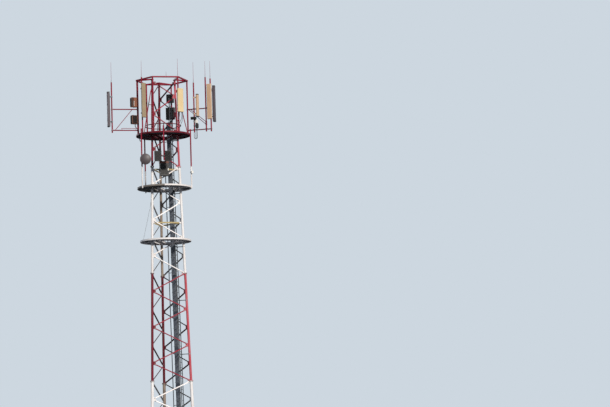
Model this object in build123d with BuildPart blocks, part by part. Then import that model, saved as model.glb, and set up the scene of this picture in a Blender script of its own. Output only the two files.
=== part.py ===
from build123d import *
import os
from math import cos, radians, sin, sqrt, tan

# A three-legged lattice tower for mobile phone aerials, in millimetres, +Z up.
# The origin is the middle of the underside of the front left leg's base plate.
# X runs from the front left leg to the front right one, and Y to the back leg.

# Legs
leg_top = 28925
face_width_base = 2840
face_width_top = 1287
band_height = 6000
leg_diameters = [168.3, 168.3, 139.7, 139.7, 114.3]
splice_overhang = 35
splice_thickness = 20
base_plate_size = 480
base_plate_thickness = 30
anchor_spacing = 340
anchor_hole_diameter = 36
foot_rib_height = 220
foot_rib_reach = 130
foot_rib_toe = 25
foot_rib_thickness = 14

# Bracing
node_spacing = 1000
top_node_drop = 75
bottom_node_rise = 350
angle_width = 60
angle_thickness = 6
bar_setback = 118
gusset_reach = 200
gusset_root = 70
gusset_margin = 36
gusset_thickness = 10
splice_relief = 10
girth_levels = [20850, 23850]
girth_depth = 80
girth_thickness = 10
girth_setback = 118
tab_reach = 190

# Climbing ladder, inside the front right leg
ladder_bottom = 300
ladder_top = 27900
ladder_radius_bottom = 950
ladder_radius_top = 440
ladder_width = 340
stile_width = 12
stile_depth = 50
rung_spacing = 300
rung_size = 22
ladder_bracket_first = 1500
ladder_bracket_spacing = 3000
ladder_bracket_size = 40

# Feeder tray and cables, inside the right face
tray_bottom = 400
tray_top = 26600
tray_back_offset = 300
tray_front_offset = 250
tray_inset = 40
tray_stile_depth = 60
tray_stile_width = 10
tray_rung_spacing = 1850
tray_rung_size = 30
tray_lug_size = 44
tray_lug_step = 2
feeder_count = 8
feeder_diameter = 28
feeder_spacing = 38
feeder_shift = 120

# Platforms
platform_names = ["platform_lower", "platform_middle", "platform_head"]
platform_levels = [19900, 22900, 25880]
platform_radii = [1430, 1520, 1520]
platform_leg_gap = 70
rim_height = 90
rim_width = 40
deck_thickness = 30
bracing_slot_outside = 100
bracing_slot_inside = 45
hatch_edge = -160
hatch_half_width = 250
wing_reach = 200
inner_saddle_width = 50
beam_width = 50
saddle_width = 100
saddle_height = 150
saddle_thickness = 12
knee_length = 200

# Crown
crown_radius = 1440
crown_turn = -4.2
crown_section = 75
crown_arm_width = 60
hub_diameter = 190
hub_thickness = 25
post_diameter = 82.5
foot_size = 130
foot_thickness = 12
hoop_level = 26370
hoop_radius = 1000
hoop_diameter = 48.3
hanger_level = 28300
hanger_foot_radius = 1430
hanger_diameter = 48.3
hanger_tie_level = 27500
hanger_tie_diameter = 33.7
lug_thickness = 12
lug_height = 160

# Pipes and clamps
pipe_diameter = 76.1
clamp_wall = 10
clamp_height = 80
seat_gap = 0.3
whip_top = 30000
whip_diameter = 20
rail_rod_share = 0.537
rail_rod_top = 29260
outer_pipe_angles = [-154.3, -24.9, 119.7]
outer_pipe_bottom = 22760
outer_pipe_top = 26100
front_pipe_angle = -102.2
front_pipe_bottom = 24200
front_pipe_top = 26150

# Outriggers
arm_diameter = 60.3
arm_levels = [26130, 27320]
brace_diameter = 33.7
left_arm_length = 1450
left_brace = (300, 1290)
side_rod_diameter = 26.9
side_stub_diameter = 20
side_rod_rise = 110
side_rod_span = (90, 930)
right_arm_angle = -30
right_pipe_reaches = [404, 1100]
right_arm_length = 1367
right_brace_starts = (60, 170)
right_brace_ends = (26380, 26530)
pipe_side_gap = 5
outrigger_pipe_bottom = 26000
left_pipe_top = 28850
right_pipe_tops = [28820, 29080, 28990]
front_left_pipe_shift = -170
back_left_pipe_shift = 390
side_pipe_top = 29070

# Deck stay
deck_stay_top = 21900
deck_stay_angle = -165
deck_stay_diameter = 18
deck_stay_foot_radius = 1400

# Panel aerials: facing, standoff, width, depth, bottom and top
panel_corner = 35
bracket_share = 0.14
bracket_size = 50
panel_left_set = (175.8, 190, 300, 140, 26340, 28300)
panel_front_left_set = (-80, 250, 260, 120, 26760, 28680)
panel_front_right_set = (-67, 190, 380, 120, 26960, 28270)
panel_right_inner_set = (-45, 230, 170, 120, 26850, 28140)
panel_right_middle_set = (-128, 190, 280, 110, 26680, 28650)
panel_right_outer_set = (-22, 190, 280, 150, 26540, 28570)

# Radio units and small boxes: direction from the pipe, standoff, width, depth, bottom and top
box_corner = 12
left_radio_sets = [(-165, 225, 230, 340, 27440, 27970), (-165, 225, 230, 340, 26480, 26960)]
back_radio_sets = [(-125, 190, 420, 160, 27890, 28370), (-125, 200, 500, 180, 26930, 27600)]
right_radio_sets = [(-120, 140, 320, 130, 26700, 26840), (-40, 160, 170, 110, 26220, 26470)]
front_radio_sets = [(-192.2, 330, 200, 380, 24170, 24720), (-12.2, 215, 200, 330, 24170, 24720)]
junction_sets = [(-45, 140, 180, 100, 26500, 26690), (-75, 95, 120, 90, 23600, 23740)]

# Jumper leads
jumper_diameter = 22
bend_share = 0.45
front_lead_offsets = [-130, -75, 75, 130]
front_lead_drops = [420, 300, 360, 480]
front_lead_fall = 300
front_lead_landing = 110
back_lead_offsets = [-120, -20, 120]
back_lead_drop = 400
back_lead_shift = 90
left_lead_offsets = [90, 130]
left_lead_drop = 170
left_lead_landing = 225
right_loop_offsets = [-50, 10]
right_loop_bottom = 25620
deck_loop_angles = [(186, 178), (182, 173)]
deck_loop_radii = (1380, 1220)
deck_loop_bottom = 25500

# Equipment box
box_width = 500
box_depth = 260
box_bottom = 23460
box_top = 24260
box_shift = -150
box_standoff = 90
equipment_box_corner = 20

# Microwave dish
dish_diameter = 600
dish_depth = 160
dish_back_depth = 95
dish_dome = 50
dish_level = 24340
dish_face_angle = -102
dish_side_shift = 200
dish_standoff = 130
dish_clamp_height = 120
dish_seat_depth = 20
dish_hub_embed = 30

axis_x = face_width_base / 2
axis_y = face_width_base / (2 * sqrt(3))
leg_angles = [-150, -30, 90]
deck_levels = dict(zip(platform_names, platform_levels))
head_deck = deck_levels["platform_head"]
crown_apothem = crown_radius * cos(radians(30))
post_angles = [crown_turn + 60 * corner for corner in range(6)]
left_post_angle = post_angles[3]
right_post_angle = post_angles[0]
pipe_radius = pipe_diameter / 2

os.makedirs("parts", exist_ok=True)


def direction(angle):
    """A level unit vector at an angle from X."""
    return Vector(cos(radians(angle)), sin(radians(angle)), 0)


def at(radius, angle, level):
    """A point at a radius and angle round the tower's axis."""
    return Vector(axis_x, axis_y, level) + direction(angle) * radius


def face_width(level):
    """The distance between two legs' axes."""
    return face_width_base - (face_width_base - face_width_top) * level / leg_top


def leg_point(angle, level):
    """A point on a leg's axis."""
    return at(face_width(level) / sqrt(3), angle, level)


def leg_direction(angle):
    """The unit vector up a leg's axis."""
    return (leg_point(angle, leg_top) - leg_point(angle, 0)).normalized()


def leg_surface(level):
    """The radius of the outermost point of a leg, from the tower's axis."""
    band = min(int(level // band_height), len(leg_diameters) - 1)
    return face_width(level) / sqrt(3) + leg_diameters[band] / 2 + seat_gap


def leg_inner_surface(level):
    """The radius of the innermost point of a leg, from the tower's axis."""
    return 2 * face_width(level) / sqrt(3) - leg_surface(level)


def face_plane(angle):
    """The plane through a leg's axis and the next one's: X across, Y up, Z outward."""
    across = direction(angle + 150)
    foot = (leg_point(angle, 0) + leg_point(angle + 120, 0)) / 2
    head = (leg_point(angle, leg_top) + leg_point(angle + 120, leg_top)) / 2
    return Plane(origin=foot, x_dir=across, z_dir=across.cross(head - foot))


def on_face(angle, side, level):
    """A leg's axis in the plane of a face: side -1 is its first leg and 1 its second."""
    leg = angle if side < 0 else angle + 120
    return face_plane(angle).to_local_coords(leg_point(leg, level))


node_levels = [bottom_node_rise] + list(range(node_spacing, leg_top, node_spacing))
node_levels.append(leg_top - top_node_drop)
splice_nodes = range(0, len(node_levels), band_height // node_spacing)
bands = [
    range(first, min(first + splice_nodes.step, len(node_levels) - 1)) for first in splice_nodes
]


def node_side(node):
    """Odd nodes are on a face's first leg and even nodes on its second."""
    return -1 if node % 2 else 1


def bar_ends(angle, bar):
    """The two leg points that a diagonal joins, first leg first, in the face's plane."""
    nodes = sorted((bar, bar + 1), key=node_side)
    return [on_face(angle, node_side(node), node_levels[node]) for node in nodes]


def bar_rise(angle, bar, across):
    """How far a diagonal climbs over a distance across its face."""
    first, second = bar_ends(angle, bar)
    return abs((second - first).Y / (second - first).X) * across


def save(piece, name):
    """Label a finished piece and write it to its file."""
    piece.part.label = name
    export_step(piece.part, f"parts/{name}.step")


def add_round(start, end, diameter):
    """A round bar from one point to another."""
    axis = Vector(end) - Vector(start)
    with BuildSketch(Plane(origin=start, z_dir=axis)) as section:
        Circle(diameter / 2)
    extrude(section.sketch, amount=axis.length)


def add_box_bar(start, end, width, height):
    """A level bar of rectangular section, with its height upright."""
    axis = Vector(end) - Vector(start)
    with BuildSketch(Plane(origin=start, x_dir=axis.cross(Vector(0, 0, 1)), z_dir=axis)) as section:
        Rectangle(width, height)
    extrude(section.sketch, amount=axis.length)


def add_block(centre, angle, length, width, height):
    """An upright block with its length along an angle."""
    with BuildSketch(Plane(origin=centre, x_dir=direction(angle))) as section:
        Rectangle(length, width)
    extrude(section.sketch, amount=height / 2, both=True)


def add_ring(level, outer_radius, width, height):
    """A flat ring round the tower's axis, standing on a level."""
    with BuildSketch(Plane(origin=(axis_x, axis_y, level))) as section:
        Circle(outer_radius)
        Circle(outer_radius - width, mode=Mode.SUBTRACT)
    extrude(section.sketch, amount=height)


def add_clamp(centre, diameter, height=clamp_height):
    """A collar round an upright pipe, clear of it by the seat gap."""
    bore_radius = diameter / 2 + seat_gap
    with BuildSketch(Plane(origin=centre)) as section:
        Circle(bore_radius + clamp_wall)
        Circle(bore_radius, mode=Mode.SUBTRACT)
    extrude(section.sketch, amount=height / 2, both=True)


# Base plates: one under each leg, with four anchor holes
with BuildPart() as base_plates:
    for angle in leg_angles:
        with BuildSketch(Plane(origin=leg_point(angle, 0))) as plate_outline:
            Rectangle(base_plate_size, base_plate_size)
            with GridLocations(anchor_spacing, anchor_spacing, 2, 2):
                Circle(anchor_hole_diameter / 2, mode=Mode.SUBTRACT)
        extrude(plate_outline.sketch, amount=base_plate_thickness)
save(base_plates, "base_plates")


# Legs: a tube, splice flanges and gusset plates for each leg, in one node a painted band
def add_gusset(angle, node, band):
    """The plate that holds the diagonals of one band at a node."""
    side = node_side(node)
    place = on_face(angle, side, node_levels[node])
    top_root, top_tip = -splice_relief, -splice_relief
    foot_root, foot_tip = splice_relief, splice_relief
    if node == 0:
        foot_root, foot_tip = -gusset_margin, -gusset_margin
    if node in band:
        top_root = gusset_root
        top_tip = bar_rise(angle, node, gusset_reach) + gusset_margin
    if node - 1 in band:
        foot_root = -gusset_root
        foot_tip = -bar_rise(angle, node - 1, gusset_reach) - gusset_margin
    tip = place.X - side * gusset_reach
    with BuildSketch(face_plane(angle)) as outline:
        with BuildLine():
            Polyline(
                (place.X, place.Y + foot_root),
                (tip, place.Y + foot_tip),
                (tip, place.Y + top_tip),
                (place.X, place.Y + top_root),
                close=True,
            )
        make_face()
    extrude(outline.sketch, amount=gusset_thickness / 2, both=True)


def add_tab(angle, side, level):
    """The plate that holds one end of a girth bar."""
    place = on_face(angle, side, level)
    with BuildSketch(face_plane(angle)) as outline:
        with Locations((place.X - side * tab_reach / 2, place.Y)):
            Rectangle(tab_reach, girth_depth)
    extrude(outline.sketch, amount=gusset_thickness / 2, both=True)


def add_foot_ribs():
    """Four tapered ribs between each leg and its base plate."""
    toe = leg_diameters[0] / 2 + foot_rib_reach
    top = base_plate_thickness + foot_rib_height
    for angle in leg_angles:
        for rib_angle in range(0, 360, 90):
            rib_plane = Plane(
                origin=leg_point(angle, 0),
                x_dir=direction(rib_angle),
                z_dir=direction(rib_angle - 90),
            )
            with BuildSketch(rib_plane) as rib:
                with BuildLine():
                    Polyline(
                        (0, base_plate_thickness),
                        (toe, base_plate_thickness),
                        (toe, base_plate_thickness + foot_rib_toe),
                        (leg_diameters[0] / 2 + foot_rib_toe, top),
                        (0, top),
                        close=True,
                    )
                make_face()
            extrude(rib.sketch, amount=foot_rib_thickness / 2, both=True)


for number, band in enumerate(bands):
    low = node_levels[band.start]
    high = leg_top if number == len(bands) - 1 else node_levels[band.stop]
    with BuildPart() as legs:
        for angle in leg_angles:
            up = leg_direction(angle)
            start = leg_point(angle, low)
            end = leg_point(angle, high)
            if number == 0:
                start = leg_point(angle, -base_plate_thickness)
            else:
                flange = leg_diameters[number - 1] + 2 * splice_overhang
                add_round(start, start + up * splice_thickness, flange)
            if high == leg_top:
                end = leg_point(angle, leg_top + hub_thickness)
            else:
                flange = leg_diameters[number] + 2 * splice_overhang
                add_round(end - up * splice_thickness, end, flange)
            add_round(start, end, leg_diameters[number])
            for node in range(band.start, band.stop + 1):
                add_gusset(angle if node % 2 else angle - 120, node, band)
            for level in girth_levels:
                if low < level < high:
                    add_tab(angle, -1, level)
                    add_tab(angle - 120, 1, level)
        if number == 0:
            add_foot_ribs()
            split(bisect_by=Plane.XY.offset(base_plate_thickness), keep=Keep.TOP)
        if high == leg_top:
            split(bisect_by=Plane.XY.offset(leg_top), keep=Keep.BOTTOM)
    save(legs, f"legs_band_{number + 1}")


# Bracing: steel angles in a zigzag up each face, bolted flat on the gussets' outer sides
def add_diagonal(angle, bar):
    """One angle section, with its standing flange outward along the lower edge."""
    plane = face_plane(angle)
    first, second = bar_ends(angle, bar)
    trim = (second - first) * (bar_setback / (second - first).X)
    seat = Vector(0, 0, gusset_thickness / 2)
    start = plane.from_local_coords(first + trim + seat)
    along = plane.from_local_coords(second - trim + seat) - start
    section_plane = Plane(origin=start, x_dir=plane.z_dir.cross(along), z_dir=along)
    half = angle_width / 2
    with BuildSketch(section_plane) as section:
        with BuildLine():
            Polyline(
                (-half, 0),
                (half, 0),
                (half, angle_thickness),
                (angle_thickness - half, angle_thickness),
                (angle_thickness - half, angle_width),
                (-half, angle_width),
                close=True,
            )
        make_face()
    extrude(section.sketch, amount=along.length)


for number, band in enumerate(bands):
    with BuildPart() as bracing:
        for angle in leg_angles:
            for bar in band:
                add_diagonal(angle, bar)
    save(bracing, f"bracing_band_{number + 1}")

# Girths: flat bars across the three faces, on the inner sides of their tabs
with BuildPart() as girths:
    for angle in leg_angles:
        for level in girth_levels:
            plane = face_plane(angle)
            place = on_face(angle, 1, level)
            inner_side = plane.offset(-gusset_thickness / 2)
            with BuildSketch(inner_side) as girth_outline:
                with Locations((0, place.Y)):
                    Rectangle(2 * (place.X - girth_setback), girth_depth)
            extrude(girth_outline.sketch, amount=-girth_thickness)
save(girths, "girths")

# Climbing ladder: two flat stiles with square rungs, stood off the front right leg
ladder_angle = leg_angles[1]
ladder_foot = at(ladder_radius_bottom, ladder_angle, ladder_bottom)
ladder_head = at(ladder_radius_top, ladder_angle, ladder_top)
ladder_up = (ladder_head - ladder_foot).normalized()
ladder_length = (ladder_head - ladder_foot).length
ladder_plane = Plane(
    origin=ladder_foot,
    x_dir=direction(ladder_angle + 90),
    z_dir=direction(ladder_angle + 90).cross(ladder_up),
)
stile_offset = (ladder_width - stile_width) / 2
rung_count = int(ladder_length // rung_spacing)
bracket_levels = range(ladder_bracket_first, ladder_top, ladder_bracket_spacing)

with BuildPart() as ladder:
    with BuildSketch(ladder_plane) as stiles:
        with Locations((-stile_offset, ladder_length / 2), (stile_offset, ladder_length / 2)):
            Rectangle(stile_width, ladder_length)
    extrude(stiles.sketch, amount=stile_depth / 2, both=True)
    with BuildSketch(ladder_plane) as rungs:
        with Locations((0, ladder_length / 2)):
            with GridLocations(0, rung_spacing, 1, rung_count):
                Rectangle(ladder_width - 2 * stile_width, rung_size)
    extrude(rungs.sketch, amount=rung_size / 2, both=True)
    for level in bracket_levels:
        share = (level - ladder_bottom) / (ladder_top - ladder_bottom)
        middle = ladder_foot + (ladder_head - ladder_foot) * share
        back = direction(ladder_angle) * (stile_depth / 2)
        cross_middle = middle + back + direction(ladder_angle) * (ladder_bracket_size / 2)
        half_cross = direction(ladder_angle + 90) * (ladder_width / 2)
        add_box_bar(
            cross_middle - half_cross,
            cross_middle + half_cross,
            ladder_bracket_size + stile_width,
            ladder_bracket_size,
        )
        leg_inside = leg_inner_surface(level + ladder_bracket_size / 2)
        add_box_bar(
            cross_middle,
            at(leg_inside, ladder_angle, level),
            ladder_bracket_size,
            ladder_bracket_size,
        )
save(ladder, "climbing_ladder")

# Feeder tray: an unequal ladder inside the right face, held off the diagonals by lugs
tray_face = leg_angles[1]
tray_plane = face_plane(tray_face)
tray_rise = on_face(tray_face, 1, leg_top).Y / leg_top
tray_middle = (tray_back_offset - tray_front_offset) / 2
tray_width = tray_back_offset + tray_front_offset
tray_height = (tray_top - tray_bottom) * tray_rise
tray_centre = (tray_top + tray_bottom) / 2 * tray_rise
tray_rung_count = int(tray_height // tray_rung_spacing)
lug_bars = range(1, int(tray_top // node_spacing), tray_lug_step)

with BuildPart() as tray:
    with BuildSketch(tray_plane.offset(-tray_inset)) as tray_stiles:
        with Locations((tray_back_offset, tray_centre), (-tray_front_offset, tray_centre)):
            Rectangle(tray_stile_width, tray_height)
    extrude(tray_stiles.sketch, amount=-tray_stile_depth)
    with BuildSketch(tray_plane.offset(-tray_inset - tray_stile_depth / 2)) as tray_rungs:
        with Locations((tray_middle, tray_centre)):
            with GridLocations(0, tray_rung_spacing, 1, tray_rung_count):
                Rectangle(tray_width, tray_rung_size)
    extrude(tray_rungs.sketch, amount=tray_rung_size / 2, both=True)
    with BuildSketch(tray_plane.offset(gusset_thickness / 2 - seat_gap)) as tray_lugs:
        for bar in lug_bars:
            first, second = bar_ends(tray_face, bar)
            for offset in (tray_back_offset, -tray_front_offset):
                share = (offset - first.X) / (second.X - first.X)
                with Locations((offset, first.Y + (second.Y - first.Y) * share)):
                    Rectangle(tray_lug_size, tray_lug_size)
    lug_length = gusset_thickness / 2 - seat_gap + tray_inset + angle_thickness
    extrude(tray_lugs.sketch, amount=-lug_length)
save(tray, "feeder_tray")

with BuildPart() as feeders:
    feeder_inset = tray_inset + (tray_stile_depth + tray_rung_size + feeder_diameter) / 2 + seat_gap
    feeder_centre = tray_middle - feeder_shift
    feeder_foot = tray_plane.from_local_coords(
        (feeder_centre, tray_bottom * tray_rise, -feeder_inset)
    )
    with BuildSketch(
        Plane(origin=feeder_foot, x_dir=tray_plane.x_dir, z_dir=tray_plane.y_dir)
    ) as feeder_ends:
        with GridLocations(feeder_spacing, 0, feeder_count, 1):
            Circle(feeder_diameter / 2)
    extrude(feeder_ends.sketch, amount=tray_height)
save(feeders, "feeder_cables")


# Platforms: a rim and a three-sided inner frame on radial beams, round the tower's bracing
def add_leg_bracket(angle, level, inner_radius):
    """A beam from a leg's outer side to the inner frame, on a saddle plate with a knee below."""
    seat = leg_surface(level - saddle_height)
    add_block(
        at(seat + saddle_thickness / 2, angle, level - saddle_height / 2),
        angle,
        saddle_thickness,
        saddle_width,
        saddle_height,
    )
    knee_tip = inner_radius + knee_length
    knee_plane = Plane(
        origin=at(0, angle, level), x_dir=direction(angle), z_dir=direction(angle - 90)
    )
    with BuildSketch(knee_plane) as knee:
        with BuildLine():
            Polyline(
                (seat, -deck_thickness),
                (seat, -saddle_height),
                (seat + saddle_thickness, -saddle_height),
                (knee_tip, -rim_height),
                (knee_tip, -deck_thickness),
                close=True,
            )
        make_face()
    extrude(knee.sketch, amount=lug_thickness / 2, both=True)
    add_box_bar(
        at(seat, angle, level - (deck_thickness + rim_height) / 2),
        at(inner_radius + rim_width / 2, angle, level - (deck_thickness + rim_height) / 2),
        beam_width,
        rim_height - deck_thickness,
    )


def face_inset(level):
    """The distance from the tower's axis to the plane of a face."""
    return face_width(level) / (2 * sqrt(3))


def bracing_hole(level, margin=0):
    """The hole in a platform round the tower: a triangle with its corners rounded off."""
    apothem = face_inset(level) + bracing_slot_outside + margin
    with BuildSketch(Plane(origin=(axis_x, axis_y, level))) as hole:
        RegularPolygon(2 * apothem, 3, rotation=leg_angles[2])
        Circle(leg_surface(level) + platform_leg_gap + margin, mode=Mode.INTERSECT)
    return hole.sketch


def inner_deck_corners(level):
    """The corners of the deck inside the tower, which leaves the climbing way open."""
    apothem = face_inset(level) - bracing_slot_inside
    return [
        (-apothem, -apothem * sqrt(3)),
        (wing_reach, (wing_reach - 2 * apothem) / sqrt(3)),
        (wing_reach, -hatch_half_width),
        (hatch_edge, -hatch_half_width),
        (hatch_edge, (2 * apothem - hatch_edge) / sqrt(3)),
        (-apothem, apothem * sqrt(3)),
    ]


def add_inner_frame(level):
    """Two bars and two ties inside the tower, on saddles on the left and the back leg."""
    beam_level = level - (deck_thickness + rim_height) / 2
    height = rim_height - deck_thickness
    apothem = face_inset(level) - bracing_slot_inside
    across = direction(ladder_angle + 90)
    for reach in (rim_width / 2 - apothem, hatch_edge - rim_width / 2):
        half = (2 * apothem - reach) / sqrt(3) - rim_width
        middle = at(reach, ladder_angle, beam_level)
        add_box_bar(middle - across * half, middle + across * half, rim_width, height)
    for shift in (-hatch_half_width, hatch_half_width):
        add_box_bar(
            at(rim_width / 2 - apothem, ladder_angle, beam_level) + across * shift,
            at(hatch_edge - rim_width / 2, ladder_angle, beam_level) + across * shift,
            rim_width,
            height,
        )
    for angle in (leg_angles[0], leg_angles[2]):
        heel = leg_inner_surface(level - deck_thickness)
        toe = 2 * apothem - 2 * rim_width
        add_block(
            at((heel + toe) / 2, angle, level - deck_thickness - saddle_height / 2),
            angle,
            heel - toe,
            inner_saddle_width,
            saddle_height,
        )


for name, level, radius in zip(platform_names, platform_levels, platform_radii):
    with BuildPart() as platform:
        inner_radius = leg_surface(level) + platform_leg_gap
        beam_level = level - (deck_thickness + rim_height) / 2
        add_ring(level - rim_height, radius, rim_width, rim_height)
        trimmer = bracing_hole(level, rim_width) - bracing_hole(level)
        extrude(
            trimmer.moved(Location((0, 0, -rim_height))), amount=rim_height - deck_thickness
        )
        for spoke in range(6):
            spoke_angle = leg_angles[0] + 60 * spoke
            spoke_start = inner_radius
            if spoke % 2:
                spoke_start = face_inset(level) + bracing_slot_outside
            add_box_bar(
                at(spoke_start + rim_width / 2, spoke_angle, beam_level),
                at(radius - rim_width / 2, spoke_angle, beam_level),
                beam_width,
                rim_height - deck_thickness,
            )
        for angle in leg_angles:
            add_leg_bracket(angle, level, inner_radius)
        add_inner_frame(level)
    save(platform, name)

    with BuildPart() as deck:
        with BuildSketch(Plane(origin=(axis_x, axis_y, level))) as deck_disc:
            Circle(radius - rim_width - seat_gap)
        outer_deck = deck_disc.sketch - bracing_hole(level)
        extrude(outer_deck, amount=-deck_thickness)
        with BuildSketch(
            Plane(origin=(axis_x, axis_y, level), x_dir=direction(ladder_angle))
        ) as inner_deck:
            with BuildLine():
                Polyline(*inner_deck_corners(level), close=True)
            make_face()
        extrude(inner_deck.sketch, amount=-deck_thickness)
    save(deck, name.replace("platform", "deck"))

# Crown: a hexagonal frame tied by two arms to each leg's top
crown_level = leg_top + crown_section / 2
with BuildPart() as crown_ring:
    with BuildSketch(Plane(origin=(axis_x, axis_y, leg_top))) as hexagon:
        RegularPolygon(
            (crown_apothem + crown_section / 2) / cos(radians(30)), 6, rotation=crown_turn
        )
        RegularPolygon(
            (crown_apothem - crown_section / 2) / cos(radians(30)),
            6,
            rotation=crown_turn,
            mode=Mode.SUBTRACT,
        )
    extrude(hexagon.sketch, amount=crown_section)
    for angle in leg_angles:
        hub = leg_point(angle, leg_top)
        add_round(hub, hub + Vector(0, 0, hub_thickness), hub_diameter)
        arm_start = leg_point(angle, leg_top) + Vector(0, 0, crown_section / 2)
        nearest = sorted(post_angles, key=lambda corner: -cos(radians(corner - angle)))
        for corner in nearest[:2]:
            add_box_bar(
                arm_start, at(crown_radius, corner, crown_level), crown_arm_width, crown_section
            )
save(crown_ring, "crown_ring")

post_radius_out = crown_radius - post_diameter / 4
with BuildPart() as crown_posts:
    for angle in post_angles:
        foot = at(post_radius_out, angle, head_deck)
        add_block(
            foot + Vector(0, 0, foot_thickness / 2), angle, foot_size, foot_size, foot_thickness
        )
        add_round(foot, foot + Vector(0, 0, leg_top - head_deck), post_diameter)
save(crown_posts, "crown_posts")

# Equipment hoop: a round pipe ring clear of the legs, on three short stubs
with BuildPart() as equipment_hoop:
    with BuildSketch(
        Plane(origin=at(hoop_radius, 0, hoop_level), x_dir=(1, 0, 0), z_dir=(0, 1, 0))
    ) as hoop_section:
        Circle(hoop_diameter / 2)
    revolve(hoop_section.sketch, axis=Axis((axis_x, axis_y, 0), (0, 0, 1)))
    for angle in leg_angles:
        stub_start = leg_surface(hoop_level - hoop_diameter / 2)
        add_round(
            at(stub_start, angle, hoop_level), at(hoop_radius, angle, hoop_level), hoop_diameter / 2
        )
save(equipment_hoop, "equipment_hoop")

# Platform hangers: raking rods from the legs' tops to the head deck's edge
with BuildPart() as platform_hangers:
    for angle in leg_angles:
        lug_seat = leg_surface(hanger_level - lug_height / 2)
        head = at(lug_seat + hanger_diameter, angle, hanger_level)
        foot = at(hanger_foot_radius, angle, head_deck)
        run = (head - foot).normalized()
        add_round(foot - run * hanger_diameter, head, hanger_diameter)
        add_block(
            at(lug_seat + hanger_diameter / 2, angle, hanger_level),
            angle,
            hanger_diameter,
            lug_thickness,
            lug_height,
        )
        share = (hanger_tie_level - head_deck) / (hanger_level - head_deck)
        add_round(
            at(leg_surface(hanger_tie_level - hanger_tie_diameter / 2), angle, hanger_tie_level),
            foot + (head - foot) * share,
            hanger_tie_diameter,
        )
    split(bisect_by=Plane.XY.offset(head_deck), keep=Keep.TOP)
save(platform_hangers, "platform_hangers")

# Outer pipes: upright pipes on the rims of the middle and head platforms
outer_pipe_radius = platform_radii[2] + pipe_radius + seat_gap
with BuildPart() as outer_pipes:
    for angle in outer_pipe_angles:
        add_round(
            at(outer_pipe_radius, angle, outer_pipe_bottom),
            at(outer_pipe_radius, angle, outer_pipe_top),
            pipe_diameter,
        )
    add_round(
        at(outer_pipe_radius, front_pipe_angle, front_pipe_bottom),
        at(outer_pipe_radius, front_pipe_angle, front_pipe_top),
        pipe_diameter,
    )
save(outer_pipes, "outer_pipes")

# Deck stay: a rod from the front left leg to the lower platform's edge
with BuildPart() as deck_stay:
    deck = deck_levels["platform_lower"]
    stay_seat = leg_surface(deck_stay_top - lug_height / 2)
    stay_head = at(stay_seat + hanger_diameter / 2, leg_angles[0], deck_stay_top)
    stay_foot = at(deck_stay_foot_radius, deck_stay_angle, deck)
    stay_run = (stay_head - stay_foot).normalized()
    add_round(stay_foot - stay_run * deck_stay_diameter, stay_head, deck_stay_diameter)
    add_block(
        at(stay_seat + hanger_diameter / 2, leg_angles[0], deck_stay_top),
        leg_angles[0],
        hanger_diameter,
        lug_thickness,
        lug_height,
    )
    split(bisect_by=Plane.XY.offset(deck), keep=Keep.TOP)
save(deck_stay, "deck_stay")

# Outriggers: two clamped arms and braces, out from a crown post to the aerial pipes
left_post = at(post_radius_out, left_post_angle, 0)
right_post = at(post_radius_out, right_post_angle, 0)
arm_collar = post_diameter / 2 + seat_gap + clamp_wall / 2
pipe_collar = pipe_radius + seat_gap + clamp_wall / 2


def add_outrigger(post, angle, length):
    """Arms at both levels, with a collar at each end."""
    along = direction(angle)
    for level in arm_levels:
        up = Vector(0, 0, level)
        add_clamp(post + up, post_diameter)
        add_clamp(post + along * length + up, pipe_diameter)
        add_round(
            post + up + along * arm_collar, post + up + along * (length - pipe_collar), arm_diameter
        )


with BuildPart() as left_outrigger:
    add_outrigger(left_post, left_post_angle, left_arm_length)
    left_along = direction(left_post_angle)
    add_round(
        left_post + left_along * left_brace[0] + Vector(0, 0, arm_levels[1]),
        left_post + left_along * left_brace[1] + Vector(0, 0, arm_levels[0]),
        brace_diameter,
    )
    side_rod_level = Vector(0, 0, arm_levels[0] + side_rod_rise)
    side_rod_ends = [left_post + left_along * reach + side_rod_level for reach in side_rod_span]
    add_round(*side_rod_ends, side_rod_diameter)
    for rod_end, inward in zip(side_rod_ends, (1, -1)):
        stub = rod_end + left_along * inward * side_rod_diameter
        add_round(stub, stub - Vector(0, 0, side_rod_rise), side_stub_diameter)
save(left_outrigger, "left_outrigger")

side = direction(right_arm_angle - 90)
side_offset = arm_diameter / 2 + pipe_radius + pipe_side_gap
right_pipe_places = [
    right_post + direction(right_arm_angle) * reach + side * side_offset
    for reach in right_pipe_reaches
] + [right_post + direction(right_arm_angle) * right_arm_length]

with BuildPart() as right_outrigger:
    add_outrigger(right_post, right_arm_angle, right_arm_length)
    for place in right_pipe_places[:2]:
        for level in arm_levels:
            add_clamp(place + Vector(0, 0, level), pipe_diameter)
    brace_clamp = right_brace_ends[1] - right_brace_ends[0] + clamp_height
    brace_middle = (right_brace_ends[0] + right_brace_ends[1]) / 2
    add_clamp(right_pipe_places[1] + Vector(0, 0, brace_middle), pipe_diameter, brace_clamp)
    for reach, level in zip(right_brace_starts, right_brace_ends):
        add_round(
            right_post + direction(right_arm_angle) * reach + Vector(0, 0, arm_levels[1]),
            right_pipe_places[1] - side * (pipe_collar + brace_diameter / 2) + Vector(0, 0, level),
            brace_diameter,
        )
save(right_outrigger, "right_outrigger")

# Aerial pipes: the upright pipes that the panel aerials are clamped to
left_pipe = left_post + direction(left_post_angle) * left_arm_length
side_pipe_offset = crown_apothem + crown_section / 2 + pipe_radius + seat_gap


def beside_crown(corner, shift):
    """A pipe's place outside the crown side that follows a corner, shifted along it."""
    normal = post_angles[corner] + 30
    return at(side_pipe_offset, normal, 0) + direction(normal + 90) * shift


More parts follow.
